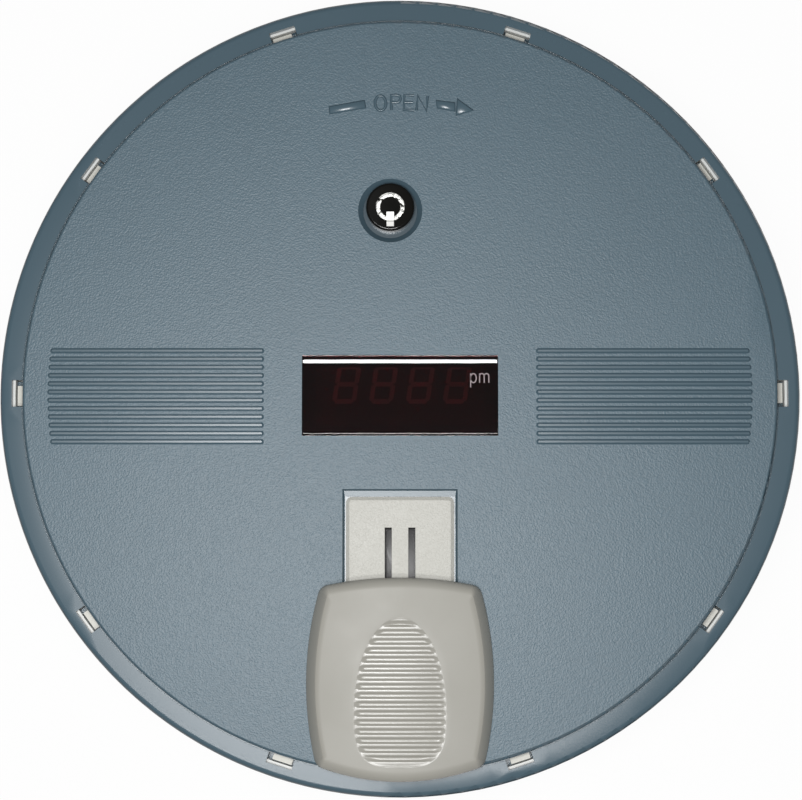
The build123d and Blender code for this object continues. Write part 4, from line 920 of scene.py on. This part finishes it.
class AddLens(bpy.types.Operator):
    """Adds the display's dark lens with the narrow ramp along its back edge."""

    bl_idname = "dispenser.lens"
    bl_label = "Lens"

    def execute(self, context):
        sizes = context.scene.dispenser_display
        half = LENS_HALF_WIDTH
        middle = (LENS_LOW.y + LENS_HIGH.y) / 2
        back, front = middle + LENS_HALF_DEPTH, middle - LENS_HALF_DEPTH
        shoulder = LENS_LOW.z + LENS_FLANGE
        top = LENS_HIGH.z
        field = top - sizes.ramp_drop
        profile = [
            (back, shoulder),
            (back, top - LENS_CHAMFER),
            (back - LENS_CHAMFER, top),
            (back - sizes.ramp_start, top),
            (back - sizes.ramp_start - sizes.ramp_width, field),
        ]
        for k in range(6):
            angle = math.radians(90) * k / 5
            inwards, down = (LENS_ROUND * (1 - f(angle)) for f in (math.sin, math.cos))
            profile.append((front + inwards, field - down))
        profile.append((front, shoulder))
        shape = bmesh.new()
        rings = [[shape.verts.new((x, y, z)) for y, z in profile] for x in (-half, half)]
        for i in range(len(profile) - 1):
            shape.faces.new((rings[0][i], rings[0][i + 1], rings[1][i + 1], rings[1][i]))
        for ends in rings:
            shape.faces.new(ends)
        places = rectangle(LENS_LOW, LENS_HIGH)
        outer = [[shape.verts.new((*p, z)) for p in places] for z in (LENS_LOW.z, shoulder)]
        bridge(shape, outer)
        shape.faces.new(outer[0])
        inner = [rings[0][-1], rings[1][-1], rings[1][0], rings[0][0]]
        bridge(shape, [outer[1], inner])
        new_piece(
            "lens",
            mesh_from(shape, "lens", smooth_angle=3),
            smoked_acrylic(),
            "lid",
            ["display_lens"],
        )
        self.add_mask()
        self.add_print(field)
        return {"FINISHED"}

    def add_mask(self):
        """The black card behind the lens's border, which hides what surrounds the digits."""
        face_low, face_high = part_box("led_display")
        outer = rectangle(LENS_LOW, LENS_HIGH)
        inner = rectangle(face_low, face_high, 0.6 * MM)
        shape = bmesh.new()
        back, front = LENS_LOW.z - 0.12 * MM, LENS_LOW.z - 0.01 * MM
        rings = [
            [shape.verts.new((*p, z)) for p in places]
            for places, z in ((outer, back), (outer, front), (inner, front), (inner, back))
        ]
        bridge(shape, rings + rings[:1])
        # black card, uncoated and quite matt
        card = moulded("black_card", linear("1D1919"), 0.3 * MM, 0.01 * MM, 0.8, 0.1)
        new_piece("display_mask", mesh_from(shape, "display_mask"), card, "lid")

    def add_print(self, field):
        """The pale afternoon sign printed on the lens."""
        arch = [(math.cos(math.radians(a)), math.sin(math.radians(a))) for a in range(180, -1, -30)]
        bowl = [(math.sin(math.radians(a)), math.cos(math.radians(a))) for a in range(0, 361, 30)]
        rows = [[(-2.9, 1.5), (-2.9, -3.0)], [(0.0, 1.5), (0.0, -1.5)]]
        rows.append([(-2.0 + 0.95 * x, 1.5 * y) for x, y in bowl])
        for middle in (0.75, 2.25):
            rows.append([(middle + 0.75 * x, 0.7 + 0.8 * y) for x, y in arch] + [(middle + 0.75, -1.5)])
        left, front = SIGN_PLACE
        height = field - 0.16 * MM
        strokes = [([((left + x) * MM, (front + y) * MM, height) for x, y in row], False) for row in rows]
        mesh = stroke_mesh("afternoon_sign", strokes, 0.26 * MM, 1)
        # screen-printed ink, pale and matt
        ink = moulded("pale_screen_print_ink", linear("AFA3A6"), 0.4 * MM, 0.01 * MM, 0.6, 0.15)
        new_piece("afternoon_sign", mesh, ink, "lid")


def new_tree(name, *sizes):
    """A geometry tree that takes points, sizes and a finish, and the sockets of what it is given."""
    tree = bpy.data.node_groups.new(name, "GeometryNodeTree")
    tree.interface.new_socket("Geometry", in_out="INPUT", socket_type="NodeSocketGeometry")
    for label in sizes:
        tree.interface.new_socket(label, in_out="INPUT", socket_type="NodeSocketFloat")
    tree.interface.new_socket("Finish", in_out="INPUT", socket_type="NodeSocketMaterial")
    tree.interface.new_socket("Geometry", in_out="OUTPUT", socket_type="NodeSocketGeometry")
    return tree, add_node(tree, "NodeGroupInput").outputs


def copy_to_points(tree, given, shape):
    """Ends a tree: the shape on each point that came in, made real and given its finish."""
    placed = add_node(
        tree, "GeometryNodeInstanceOnPoints", {"Points": given["Geometry"], "Instance": shape}
    )
    real = add_node(tree, "GeometryNodeRealizeInstances", {"Geometry": placed.outputs[0]})
    done = add_node(
        tree, "GeometryNodeSetMaterial", {"Geometry": real.outputs[0], "Material": given["Finish"]}
    )
    add_node(tree, "NodeGroupOutput", {"Geometry": done.outputs[0]})


# a hexagon's corner radius over its width across the flats
HEXAGON_CORNER = 0.577
# how much shorter than its stroke a segment's straight part is, in widths of the segment
SEGMENT_SHORTER = 1.25
DIGIT_RISE = 0.06 * MM


def segment_tree():
    """Seven-segment digits, one on each point that comes in, leaning over and a little raised."""
    tree, given = new_tree("seven_segment_digits", "Height", "Width", "Segment Width", "Slant")
    thickness = given["Segment Width"]

    def segment(stroke):
        """A bar with pointed ends, as long as the digit's stroke less a small gap."""
        # six corners whose flats are the segment's width apart
        radius = add_node(
            tree, "ShaderNodeMath", {0: thickness, 1: HEXAGON_CORNER}, operation="MULTIPLY"
        ).outputs[0]
        six = add_node(tree, "GeometryNodeMeshCircle", {"Vertices": 6, "Radius": radius}, fill_type="NGON")
        shorter = {0: thickness, 1: -SEGMENT_SHORTER, 2: stroke}
        straight = add_node(tree, "ShaderNodeMath", shorter, operation="MULTIPLY_ADD").outputs[0]
        reach = add_node(tree, "ShaderNodeMath", {0: straight, 1: 0.5}, operation="MULTIPLY").outputs[0]
        along = add_node(tree, "ShaderNodeCombineXYZ", {0: reach}).outputs[0]
        place = add_node(tree, "GeometryNodeInputPosition").outputs[0]
        side = add_node(tree, "ShaderNodeVectorMath", {0: place}, operation="SIGN").outputs[0]
        shift = add_node(tree, "ShaderNodeVectorMath", {0: side, 1: along}, operation="MULTIPLY").outputs[0]
        longer = {"Geometry": six.outputs[0], "Offset": shift}
        return add_node(tree, "GeometryNodeSetPosition", longer).outputs[0]

    half_height = add_node(
        tree, "ShaderNodeMath", {0: given["Height"], 1: 0.5}, operation="MULTIPLY"
    ).outputs[0]
    flat = segment(given["Width"])
    upright = segment(half_height)
    step = add_node(tree, "ShaderNodeCombineXYZ", {0: given["Width"], 1: half_height}).outputs[0]
    joined = add_node(tree, "GeometryNodeJoinGeometry")
    bars = [(flat, 0, (0, row, 0)) for row in (-1, 0, 1)]
    bars += [(upright, math.pi / 2, (column, row, 0)) for column in (-0.5, 0.5) for row in (-0.5, 0.5)]
    for bar, angle, steps in bars:
        place = add_node(tree, "ShaderNodeVectorMath", {0: step, 1: steps}, operation="MULTIPLY").outputs[0]
        moved = add_node(
            tree,
            "GeometryNodeTransform",
            {"Geometry": bar, "Translation": place, "Rotation": (0, 0, angle)},
        )
        tree.links.new(moved.outputs[0], joined.inputs[0])
    place = add_node(tree, "GeometryNodeInputPosition").outputs[0]
    y = add_node(tree, "ShaderNodeSeparateXYZ", {0: place}).outputs[1]
    slope = add_node(tree, "ShaderNodeMath", {0: given["Slant"]}, operation="TANGENT").outputs[0]
    lean = add_node(tree, "ShaderNodeMath", {0: y, 1: slope}, operation="MULTIPLY").outputs[0]
    shift = add_node(tree, "ShaderNodeCombineXYZ", {0: lean}).outputs[0]
    leaning = add_node(
        tree, "GeometryNodeSetPosition", {"Geometry": joined.outputs[0], "Offset": shift}
    ).outputs[0]
    upward = {"Mesh": leaning, "Offset Scale": DIGIT_RISE, "Individual": False}
    raised = add_node(tree, "GeometryNodeExtrudeMesh", upward)
    under = add_node(tree, "GeometryNodeFlipFaces", {"Mesh": leaning}).outputs[0]
    digit = add_node(tree, "GeometryNodeJoinGeometry")
    tree.links.new(raised.outputs[0], digit.inputs[0])
    tree.links.new(under, digit.inputs[0])
    welded = add_node(
        tree, "GeometryNodeMergeByDistance", {"Geometry": digit.outputs[0], "Distance": 0.001 * MM}
    )
    copy_to_points(tree, given, welded.outputs[0])
    return tree


# how far the digits' middle lies from the lid's
DIGITS_RIGHT = 0.65 * MM
DIGITS_BEHIND = 3.1 * MM


class AddDigits(bpy.types.Operator):
    """Adds the unlit digits on the display's face."""

    bl_idname = "dispenser.digits"
    bl_label = "Digits"

    def execute(self, context):
        sizes = context.scene.dispenser_display
        # epoxy cast into the display's windows, cloudy and unlit
        finish = moulded("cloudy_cast_epoxy", linear("6E6A6C"), 0.4 * MM, 0.005 * MM, 0.4, 0.1)
        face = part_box("led_display")[1].z
        places = [
            ((-1.5 + k) * sizes.digit_pitch + DIGITS_RIGHT, DIGITS_BEHIND, face - 0.005 * MM)
            for k in range(4)
        ]
        values = {
            "Height": sizes.digit_height,
            "Width": sizes.digit_width,
            "Segment Width": sizes.segment_width,
            "Slant": sizes.slant,
            "Finish": finish,
        }
        mesh = grown_mesh("digits", segment_tree(), values, places)
        new_piece("digits", mesh, None, "base")
        # black epoxy case of the display module
        dress(moulded("black_moulded_epoxy", linear("1D1A1A"), 0.3 * MM, 0.01 * MM, 0.6), "led_display")
        return {"FINISHED"}


# ---------------------------------------------------------------- the lock
def worn_chrome(name):
    """Chromed brass, bright where keys have polished it and dark where the plating is dirty or gone."""
    finish, tree, shader, place = new_finish(name, Metallic=1.0)
    noise = add_node(
        tree, "ShaderNodeTexNoise", {"Vector": place, "Scale": 1 / (1.3 * MM), "Detail": 3.0}
    ).outputs["Fac"]
    worn = add_node(
        tree,
        "ShaderNodeMapRange",
        {"Value": noise, "From Min": 0.4, "From Max": 0.47, "To Min": 0, "To Max": 1},
    ).outputs["Result"]
    # the nib that keys slide against is scoured bright all over
    low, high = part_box("lock_plug")
    middle = (low + high) / 2
    axes = add_node(tree, "ShaderNodeSeparateXYZ", {"Vector": place}).outputs
    near = add_node(
        tree, "ShaderNodeMath", {0: axes["X"], 1: middle.x, 2: 1.3 * MM}, operation="COMPARE"
    ).outputs[0]
    front = add_node(
        tree, "ShaderNodeMath", {0: axes["Y"], 1: middle.y - 1.4 * MM}, operation="LESS_THAN"
    ).outputs[0]
    nib = add_node(tree, "ShaderNodeMath", {0: near, 1: front}, operation="MULTIPLY").outputs[0]
    bright = add_node(tree, "ShaderNodeMath", {0: worn, 1: nib}, operation="MAXIMUM").outputs[0]
    mix = add_node(
        tree,
        "ShaderNodeMix",
        {"Factor": bright, 6: solid(linear("3A3A37")), 7: solid(linear("FAFAF6"))},
        data_type="RGBA",
    )
    tree.links.new(mix.outputs[2], shader.inputs["Base Color"])
    rough = add_node(
        tree, "ShaderNodeMapRange", {"Value": bright, "To Min": 0.3, "To Max": 0.5}
    ).outputs["Result"]
    tree.links.new(rough, shader.inputs["Roughness"])
    bump = add_node(tree, "ShaderNodeBump", {"Height": noise, "Distance": 0.05 * MM, "Strength": 1.0})
    tree.links.new(bump.outputs["Normal"], shader.inputs["Normal"])
    return finish


class DressLock(bpy.types.Operator):
    """Gives the key lock its face and post, drawn glossy black as a painted reflection, its worn chrome
    keyway and bright key notch.
    """

    bl_idname = "dispenser.lock"
    bl_label = "Lock"

    def execute(self, context):
        # plated zinc casting, drawn glossy black as a painted reflection of a dark room, slightly
        # orange-peeled
        painted_black_reflection = moulded(
            "plated_zinc_painted_black_reflection",
            linear("0E0E0C"),
            0.5 * MM,
            0.01 * MM,
            0.16,
            0.2,
            Specular_IOR_Level=0.25,
        )
        dress(painted_black_reflection, "lock_body", "lock_post")
        dress(worn_chrome("worn_chromed_brass"), "lock_plug")
        dress(
            moulded("bright_key_notch_nylon", linear("F2F2EE"), 0.6 * MM, 0.01 * MM, 0.3, 0.03),
            "lock_notch_insert",
        )
        plated = metal("zinc_plated_pressed_steel", linear("B4B5B4"), 0.4 * MM, 0.004 * MM, 0.32)
        dress(plated, "lock_nut", "lock_cam", "lock_cam_screw")
        return {"FINISHED"}


# ---------------------------------------------------------------- base, tray and hub
class DressBase(bpy.types.Operator):
    """Gives the base its off-white ABS, with black rubber feet and the battery door."""

    bl_idname = "dispenser.base"
    bl_label = "Base"

    def execute(self, context):
        look = context.scene.dispenser_look
        # ABS moulded with a light spark grain, matt to the eye
        shell = moulded("off_white_moulded_abs", look.base_colour, 0.6 * MM, 0.03 * MM, 0.48)
        dress(shell, "base_floor", "base_wall", "base_rim", "base_pillars", "battery_door")
        # rubber pads, matt and dusty
        rubber = moulded("black_moulded_rubber", linear("1E1E1F"), 0.5 * MM, 0.04 * MM, 0.75, 0.12)
        dress(rubber, "rubber_feet")
        return {"FINISHED"}


class DressTray(bpy.types.Operator):
    """Gives the carousel tray its white styrene and its gears their acetal."""

    bl_idname = "dispenser.tray"
    bl_label = "Tray"

    def execute(self, context):
        look = context.scene.dispenser_look
        # polystyrene from a polished mould, so it shines
        styrene = moulded("white_moulded_styrene", look.tray_colour, 0.8 * MM, 0.006 * MM, 0.26, 0.02)
        dress(styrene, "tray_floor", "tray_inner_wall", "tray_outer_wall", "tray_dividers")
        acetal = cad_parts["lid_glide_ring"].material_slots[0].material
        dress(acetal, "tray_ring_gear", "drive_pinion")
        # ground and polished steel rod
        ground = metal("ground_steel_rod", linear("A9AAAB"), 0.25 * MM, 0.003 * MM, 0.25, (1, 1, 0.1))
        dress(ground, "pinion_shaft")
        return {"FINISHED"}


class DressHub(bpy.types.Operator):
    """Gives the hub its off-white ABS and the setting buttons their rubber."""

    bl_idname = "dispenser.hub"
    bl_label = "Hub and buttons"

    def execute(self, context):
        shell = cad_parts["base_floor"].material_slots[0].material
        dress(shell, "hub_wall_ring", "hub_cover")
        # silicone rubber keys, soft and matt
        keys = moulded("grey_silicone_rubber", linear("5A6068"), 0.5 * MM, 0.02 * MM, 0.65, 0.05)
        dress(keys, "hour_button", "minute_button", "alarm_button", "tray_button")
        return {"FINISHED"}


# ---------------------------------------------------------------- screws
HEAD_RADIUS = 2.9 * MM
HEAD_HEIGHT = 1.8 * MM
SHANK_RADIUS = 1.5 * MM
HUB_SCREW_CIRCLE = 70 * MM
HUB_SCREW_AZIMUTHS = (120, 180, 239, 340)
EAR_OFFSETS = ((8.75 * MM, -15.16 * MM), (-8.75 * MM, 15.16 * MM))


def screw_tree():
    """A cross-recessed pan-head screw on each point that comes in, pointing down."""
    tree, given = new_tree("pan_head_screws", "Head Radius", "Head Height", "Shank Radius", "Shank Length")
    radius = given["Head Radius"]
    height = given["Head Height"]
    # the head narrows to the top, and the cross's arms are about a quarter of its radius wide
    top_radius, narrow, half_head, half_shank = (
        add_node(tree, "ShaderNodeMath", {0: size, 1: part}, operation="MULTIPLY").outputs[0]
        for size, part in ((radius, 0.72), (radius, 0.24), (height, 0.5), (given["Shank Length"], -0.5))
    )

    def raised_by(geometry, distance):
        place = add_node(tree, "ShaderNodeCombineXYZ", {2: distance}).outputs[0]
        return add_node(
            tree, "GeometryNodeTransform", {"Geometry": geometry, "Translation": place}
        ).outputs[0]

    head = add_node(
        tree,
        "GeometryNodeMeshCone",
        {"Vertices": 32, "Radius Top": top_radius, "Radius Bottom": radius, "Depth": height},
    ).outputs[0]
    arms = add_node(tree, "GeometryNodeJoinGeometry")
    for across, along in ((radius, narrow), (narrow, radius)):
        size = add_node(tree, "ShaderNodeCombineXYZ", {0: across, 1: along, 2: height}).outputs[0]
        arm = add_node(tree, "GeometryNodeMeshCube", {"Size": size}).outputs[0]
        tree.links.new(raised_by(arm, height), arms.inputs[0])
    cut = add_node(tree, "GeometryNodeMeshBoolean", {"Mesh 1": raised_by(head, half_head)}, solver="EXACT")
    tree.links.new(arms.outputs[0], cut.inputs["Mesh 2"])
    shank = add_node(
        tree,
        "GeometryNodeMeshCylinder",
        {"Vertices": 20, "Radius": given["Shank Radius"], "Depth": given["Shank Length"]},
    ).outputs[0]
    screw = add_node(tree, "GeometryNodeJoinGeometry")
    tree.links.new(cut.outputs[0], screw.inputs[0])
    tree.links.new(raised_by(shank, half_shank), screw.inputs[0])
    copy_to_points(tree, given, screw.outputs[0])
    return tree


class AddScrews(bpy.types.Operator):
    """Adds the cross-recessed screws of the hub and the gearbox."""

    bl_idname = "dispenser.screws"
    bl_label = "Screws"

    def execute(self, context):
        low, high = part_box("motor_screws")
        middle = (low + high) / 2
        angles = [math.radians(a) for a in HUB_SCREW_AZIMUTHS]
        tree = screw_tree()
        for node, places in (
            (
                "hub_screws",
                [(HUB_SCREW_CIRCLE * math.cos(a), HUB_SCREW_CIRCLE * math.sin(a)) for a in angles],
            ),
            ("motor_screws", [(middle.x + x, middle.y + y) for x, y in EAR_OFFSETS]),
        ):
            low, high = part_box(node)
            foot = high.z - HEAD_HEIGHT
            values = {
                "Head Radius": HEAD_RADIUS,
                "Head Height": HEAD_HEIGHT,
                "Shank Radius": SHANK_RADIUS,
                "Shank Length": foot - low.z,
                "Finish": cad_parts["lock_nut"].material_slots[0].material,
            }
            mesh = grown_mesh(f"{node}_cross", tree, values, [(x, y, foot) for x, y in places])
            mesh.set_sharp_from_angle(angle=math.radians(30))
            new_piece(f"{node}_cross", mesh, None, "base", [node])
        return {"FINISHED"}


# ---------------------------------------------------------------- inner works
def solder_mask():
    """Glass-fibre board under green solder mask: copper tracks show through as slightly lighter lines."""
    finish, tree, shader, place = new_finish("solder_masked_fibreglass", Roughness=0.35)
    tracks = add_node(
        tree, "ShaderNodeTexBrick", {"Vector": place, "Scale": 1 / (6 * MM), "Mortar Size": 0.05}
    ).outputs["Fac"]
    mix = add_node(
        tree,
        "ShaderNodeMix",
        {"Factor": tracks, 6: solid(linear("1F5A3A")), 7: solid(linear("2F7A4E"))},
        data_type="RGBA",
    )
    tree.links.new(mix.outputs[2], shader.inputs["Base Color"])
    bump = add_node(tree, "ShaderNodeBump", {"Height": tracks, "Distance": 0.03 * MM, "Strength": 1.0})
    tree.links.new(bump.outputs["Normal"], shader.inputs["Normal"])
    return finish


class DressWorks(bpy.types.Operator):
    """Gives the boards, cells, motor and other inner parts their finishes."""

    bl_idname = "dispenser.works"
    bl_label = "Inner works"

    def execute(self, context):
        satin = moulded("black_moulded_abs", linear("222223"), 0.5 * MM, 0.02 * MM, 0.45, 0.08)
        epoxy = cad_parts["led_display"].material_slots[0].material
        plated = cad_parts["lock_nut"].material_slots[0].material
        grey = moulded("grey_moulded_acetal", linear("9C9D9A"), 0.5 * MM, 0.02 * MM, 0.42)
        # printed shrink sleeve over the cells, glossy and slightly wavy
        sleeve = moulded("grey_shrink_sleeve", linear("3D4146"), 4 * MM, 0.05 * MM, 0.18, 0.05)
        # nickel on spring steel, drawn along the strip
        nickel = metal(
            "nickel_plated_spring_steel", linear("C9C5BA"), 0.3 * MM, 0.004 * MM, 0.24, (1, 1, 0.2)
        )
        # drawn steel can with fine marks round it
        can = metal("drawn_steel_can", linear("B7B8B6"), 0.3 * MM, 0.004 * MM, 0.3, (1, 1, 0.15))
        # extruded wire insulation
        wire = moulded("red_extruded_pvc", linear("9E1F1C"), 2 * MM, 0.01 * MM, 0.3, 0.05)
        for finish, nodes in (
            (satin, ("battery_holder", "buzzer", "dc_jack", "tray_sensor")),
            (epoxy, ("board_components", "key_switches")),
            (solder_mask(), ("main_board", "display_board")),
            (grey, ("gearbox_case",)),
            (sleeve, ("battery_cells",)),
            (nickel, ("battery_contacts",)),
            (can, ("drive_motor",)),
            (wire, ("power_lead",)),
            (plated, ("display_board_screws",)),
        ):
            dress(finish, *nodes)
        return {"FINISHED"}


# ---------------------------------------------------------------- floor, lights and camera
FLOOR_HALF = 12
# how much of the paper's white comes from the paper itself, so that a little shadow still shows
GLOW_SHARE = 0.96
CAMERA_TARGET = Vector((0.31 * MM, -2.34 * MM, PLATE_TOP))


class BuildStage(bpy.types.Operator):
    """Adds the pale floor, the soft light and the camera at the photograph's angle."""

    bl_idname = "dispenser.stage"
    bl_label = "Stage"

    def execute(self, context):
        stage = context.scene.dispenser_stage
        scene = context.scene
        shape = bmesh.new()
        bmesh.ops.create_grid(shape, x_segments=1, y_segments=1, size=FLOOR_HALF)
        mesh = bpy.data.meshes.new("floor")
        shape.to_mesh(mesh)
        shape.free()
        floor = bpy.data.objects.new("floor", mesh)
        scene.collection.objects.link(floor)
        mesh.materials.append(self.paper())

        self.soft_box("key", stage.key_place, stage.key_power, stage.key_width, stage.key_depth)
        self.soft_box("front", stage.front_place, stage.front_power, stage.front_width, stage.front_depth)

        world = bpy.data.worlds.new("studio")
        scene.world = world
        world.use_nodes = True
        tree = world.node_tree
        tree.nodes.clear()
        back = add_node(tree, "ShaderNodeBackground", {"Color": (1, 1, 1, 1), "Strength": stage.fill})
        add_node(tree, "ShaderNodeOutputWorld", {"Surface": back.outputs[0]})

        lens = bpy.data.cameras.new("camera")
        lens.sensor_width = 36
        lens.sensor_fit = "HORIZONTAL"
        lens.lens = stage.lens
        lens.clip_start = 0.01
        camera = bpy.data.objects.new("camera", lens)
        tilt = stage.camera_tilt
        camera.location = CAMERA_TARGET + Vector(
            (0, -math.sin(tilt), math.cos(tilt))
        ) * stage.camera_distance
        camera.rotation_euler = (tilt, 0, 0)
        scene.collection.objects.link(camera)
        scene.camera = camera
        scene.view_settings.view_transform = "Standard"
        return {"FINISHED"}

    def soft_box(self, name, place, power, width, depth):
        """A rectangular light that faces straight down."""
        light = bpy.data.lights.new(name, "AREA")
        light.shape = "RECTANGLE"
        light.size = width
        light.size_y = depth
        light.energy = power
        holder = bpy.data.objects.new(name, light)
        holder.location = place
        holder.visible_camera = False
        bpy.context.scene.collection.objects.link(holder)

    def paper(self):
        """White seamless paper that shows white to the camera and still takes the object's shadow."""
        finish, tree, shader, place = new_finish("white_seamless_paper", Roughness=0.9)
        tree.links.new(mottle(tree, place, linear("E8E8E8"), 0.01, 200 * MM), shader.inputs["Base Color"])
        glow = add_node(tree, "ShaderNodeEmission", {"Color": (1, 1, 1, 1), "Strength": 1.0})
        path = add_node(tree, "ShaderNodeLightPath").outputs
        seen = path["Is Camera Ray"]
        for label in ("Is Glossy Ray", "Is Transmission Ray"):
            seen = add_node(
                tree, "ShaderNodeMath", {0: seen, 1: path[label]}, operation="MAXIMUM"
            ).outputs[0]
        share = add_node(tree, "ShaderNodeMath", {0: seen, 1: GLOW_SHARE}, operation="MULTIPLY").outputs[0]
        mix = add_node(tree, "ShaderNodeMixShader", {0: share, 1: shader.outputs[0], 2: glow.outputs[0]})
        output = next(n for n in tree.nodes if n.bl_idname == "ShaderNodeOutputMaterial")
        tree.links.new(mix.outputs[0], output.inputs["Surface"])
        return finish


# ---------------------------------------------------------------- panel and registration
STEPS = (
    DressCover,
    AddOpenMark,
    AddDoor,
    AddTrack,
    AddLens,
    AddDigits,
    DressLock,
    DressBase,
    DressTray,
    DressHub,
    AddScrews,
    DressWorks,
    BuildStage,
)
GROUPS = {
    "dispenser_look": DispenserLook,
    "dispenser_door": DoorShape,
    "dispenser_display": DisplayShape,
    "dispenser_mark": MarkShape,
    "dispenser_stage": StageLook,
}


class DispenserPanel(bpy.types.Panel):
    """Lists the dispenser's pieces and what can be changed."""

    bl_idname = "VIEW3D_PT_dispenser"
    bl_label = "Pill dispenser"
    bl_space_type = "VIEW_3D"
    bl_region_type = "UI"
    bl_category = "Dispenser"

    def draw(self, context):
        for step in STEPS:
            self.layout.operator(step.bl_idname)
        for name, group in GROUPS.items():
            column = self.layout.column()
            column.label(text=group.__doc__)
            for label in group.__annotations__:
                column.prop(getattr(context.scene, name), label)


def register():
    for group in GROUPS.values():
        bpy.utils.register_class(group)
    for name, group in GROUPS.items():
        setattr(bpy.types.Scene, name, PointerProperty(type=group))
    for step in (*STEPS, DispenserPanel):
        bpy.utils.register_class(step)


def unregister():
    for step in reversed((*STEPS, DispenserPanel)):
        bpy.utils.unregister_class(step)
    for name, group in GROUPS.items():
        delattr(bpy.types.Scene, name)
        bpy.utils.unregister_class(group)


def main():
    register()
    for step in STEPS:
        getattr(bpy.ops.dispenser, step.bl_idname.split(".")[1])()


if __name__ == "__main__":
    main()
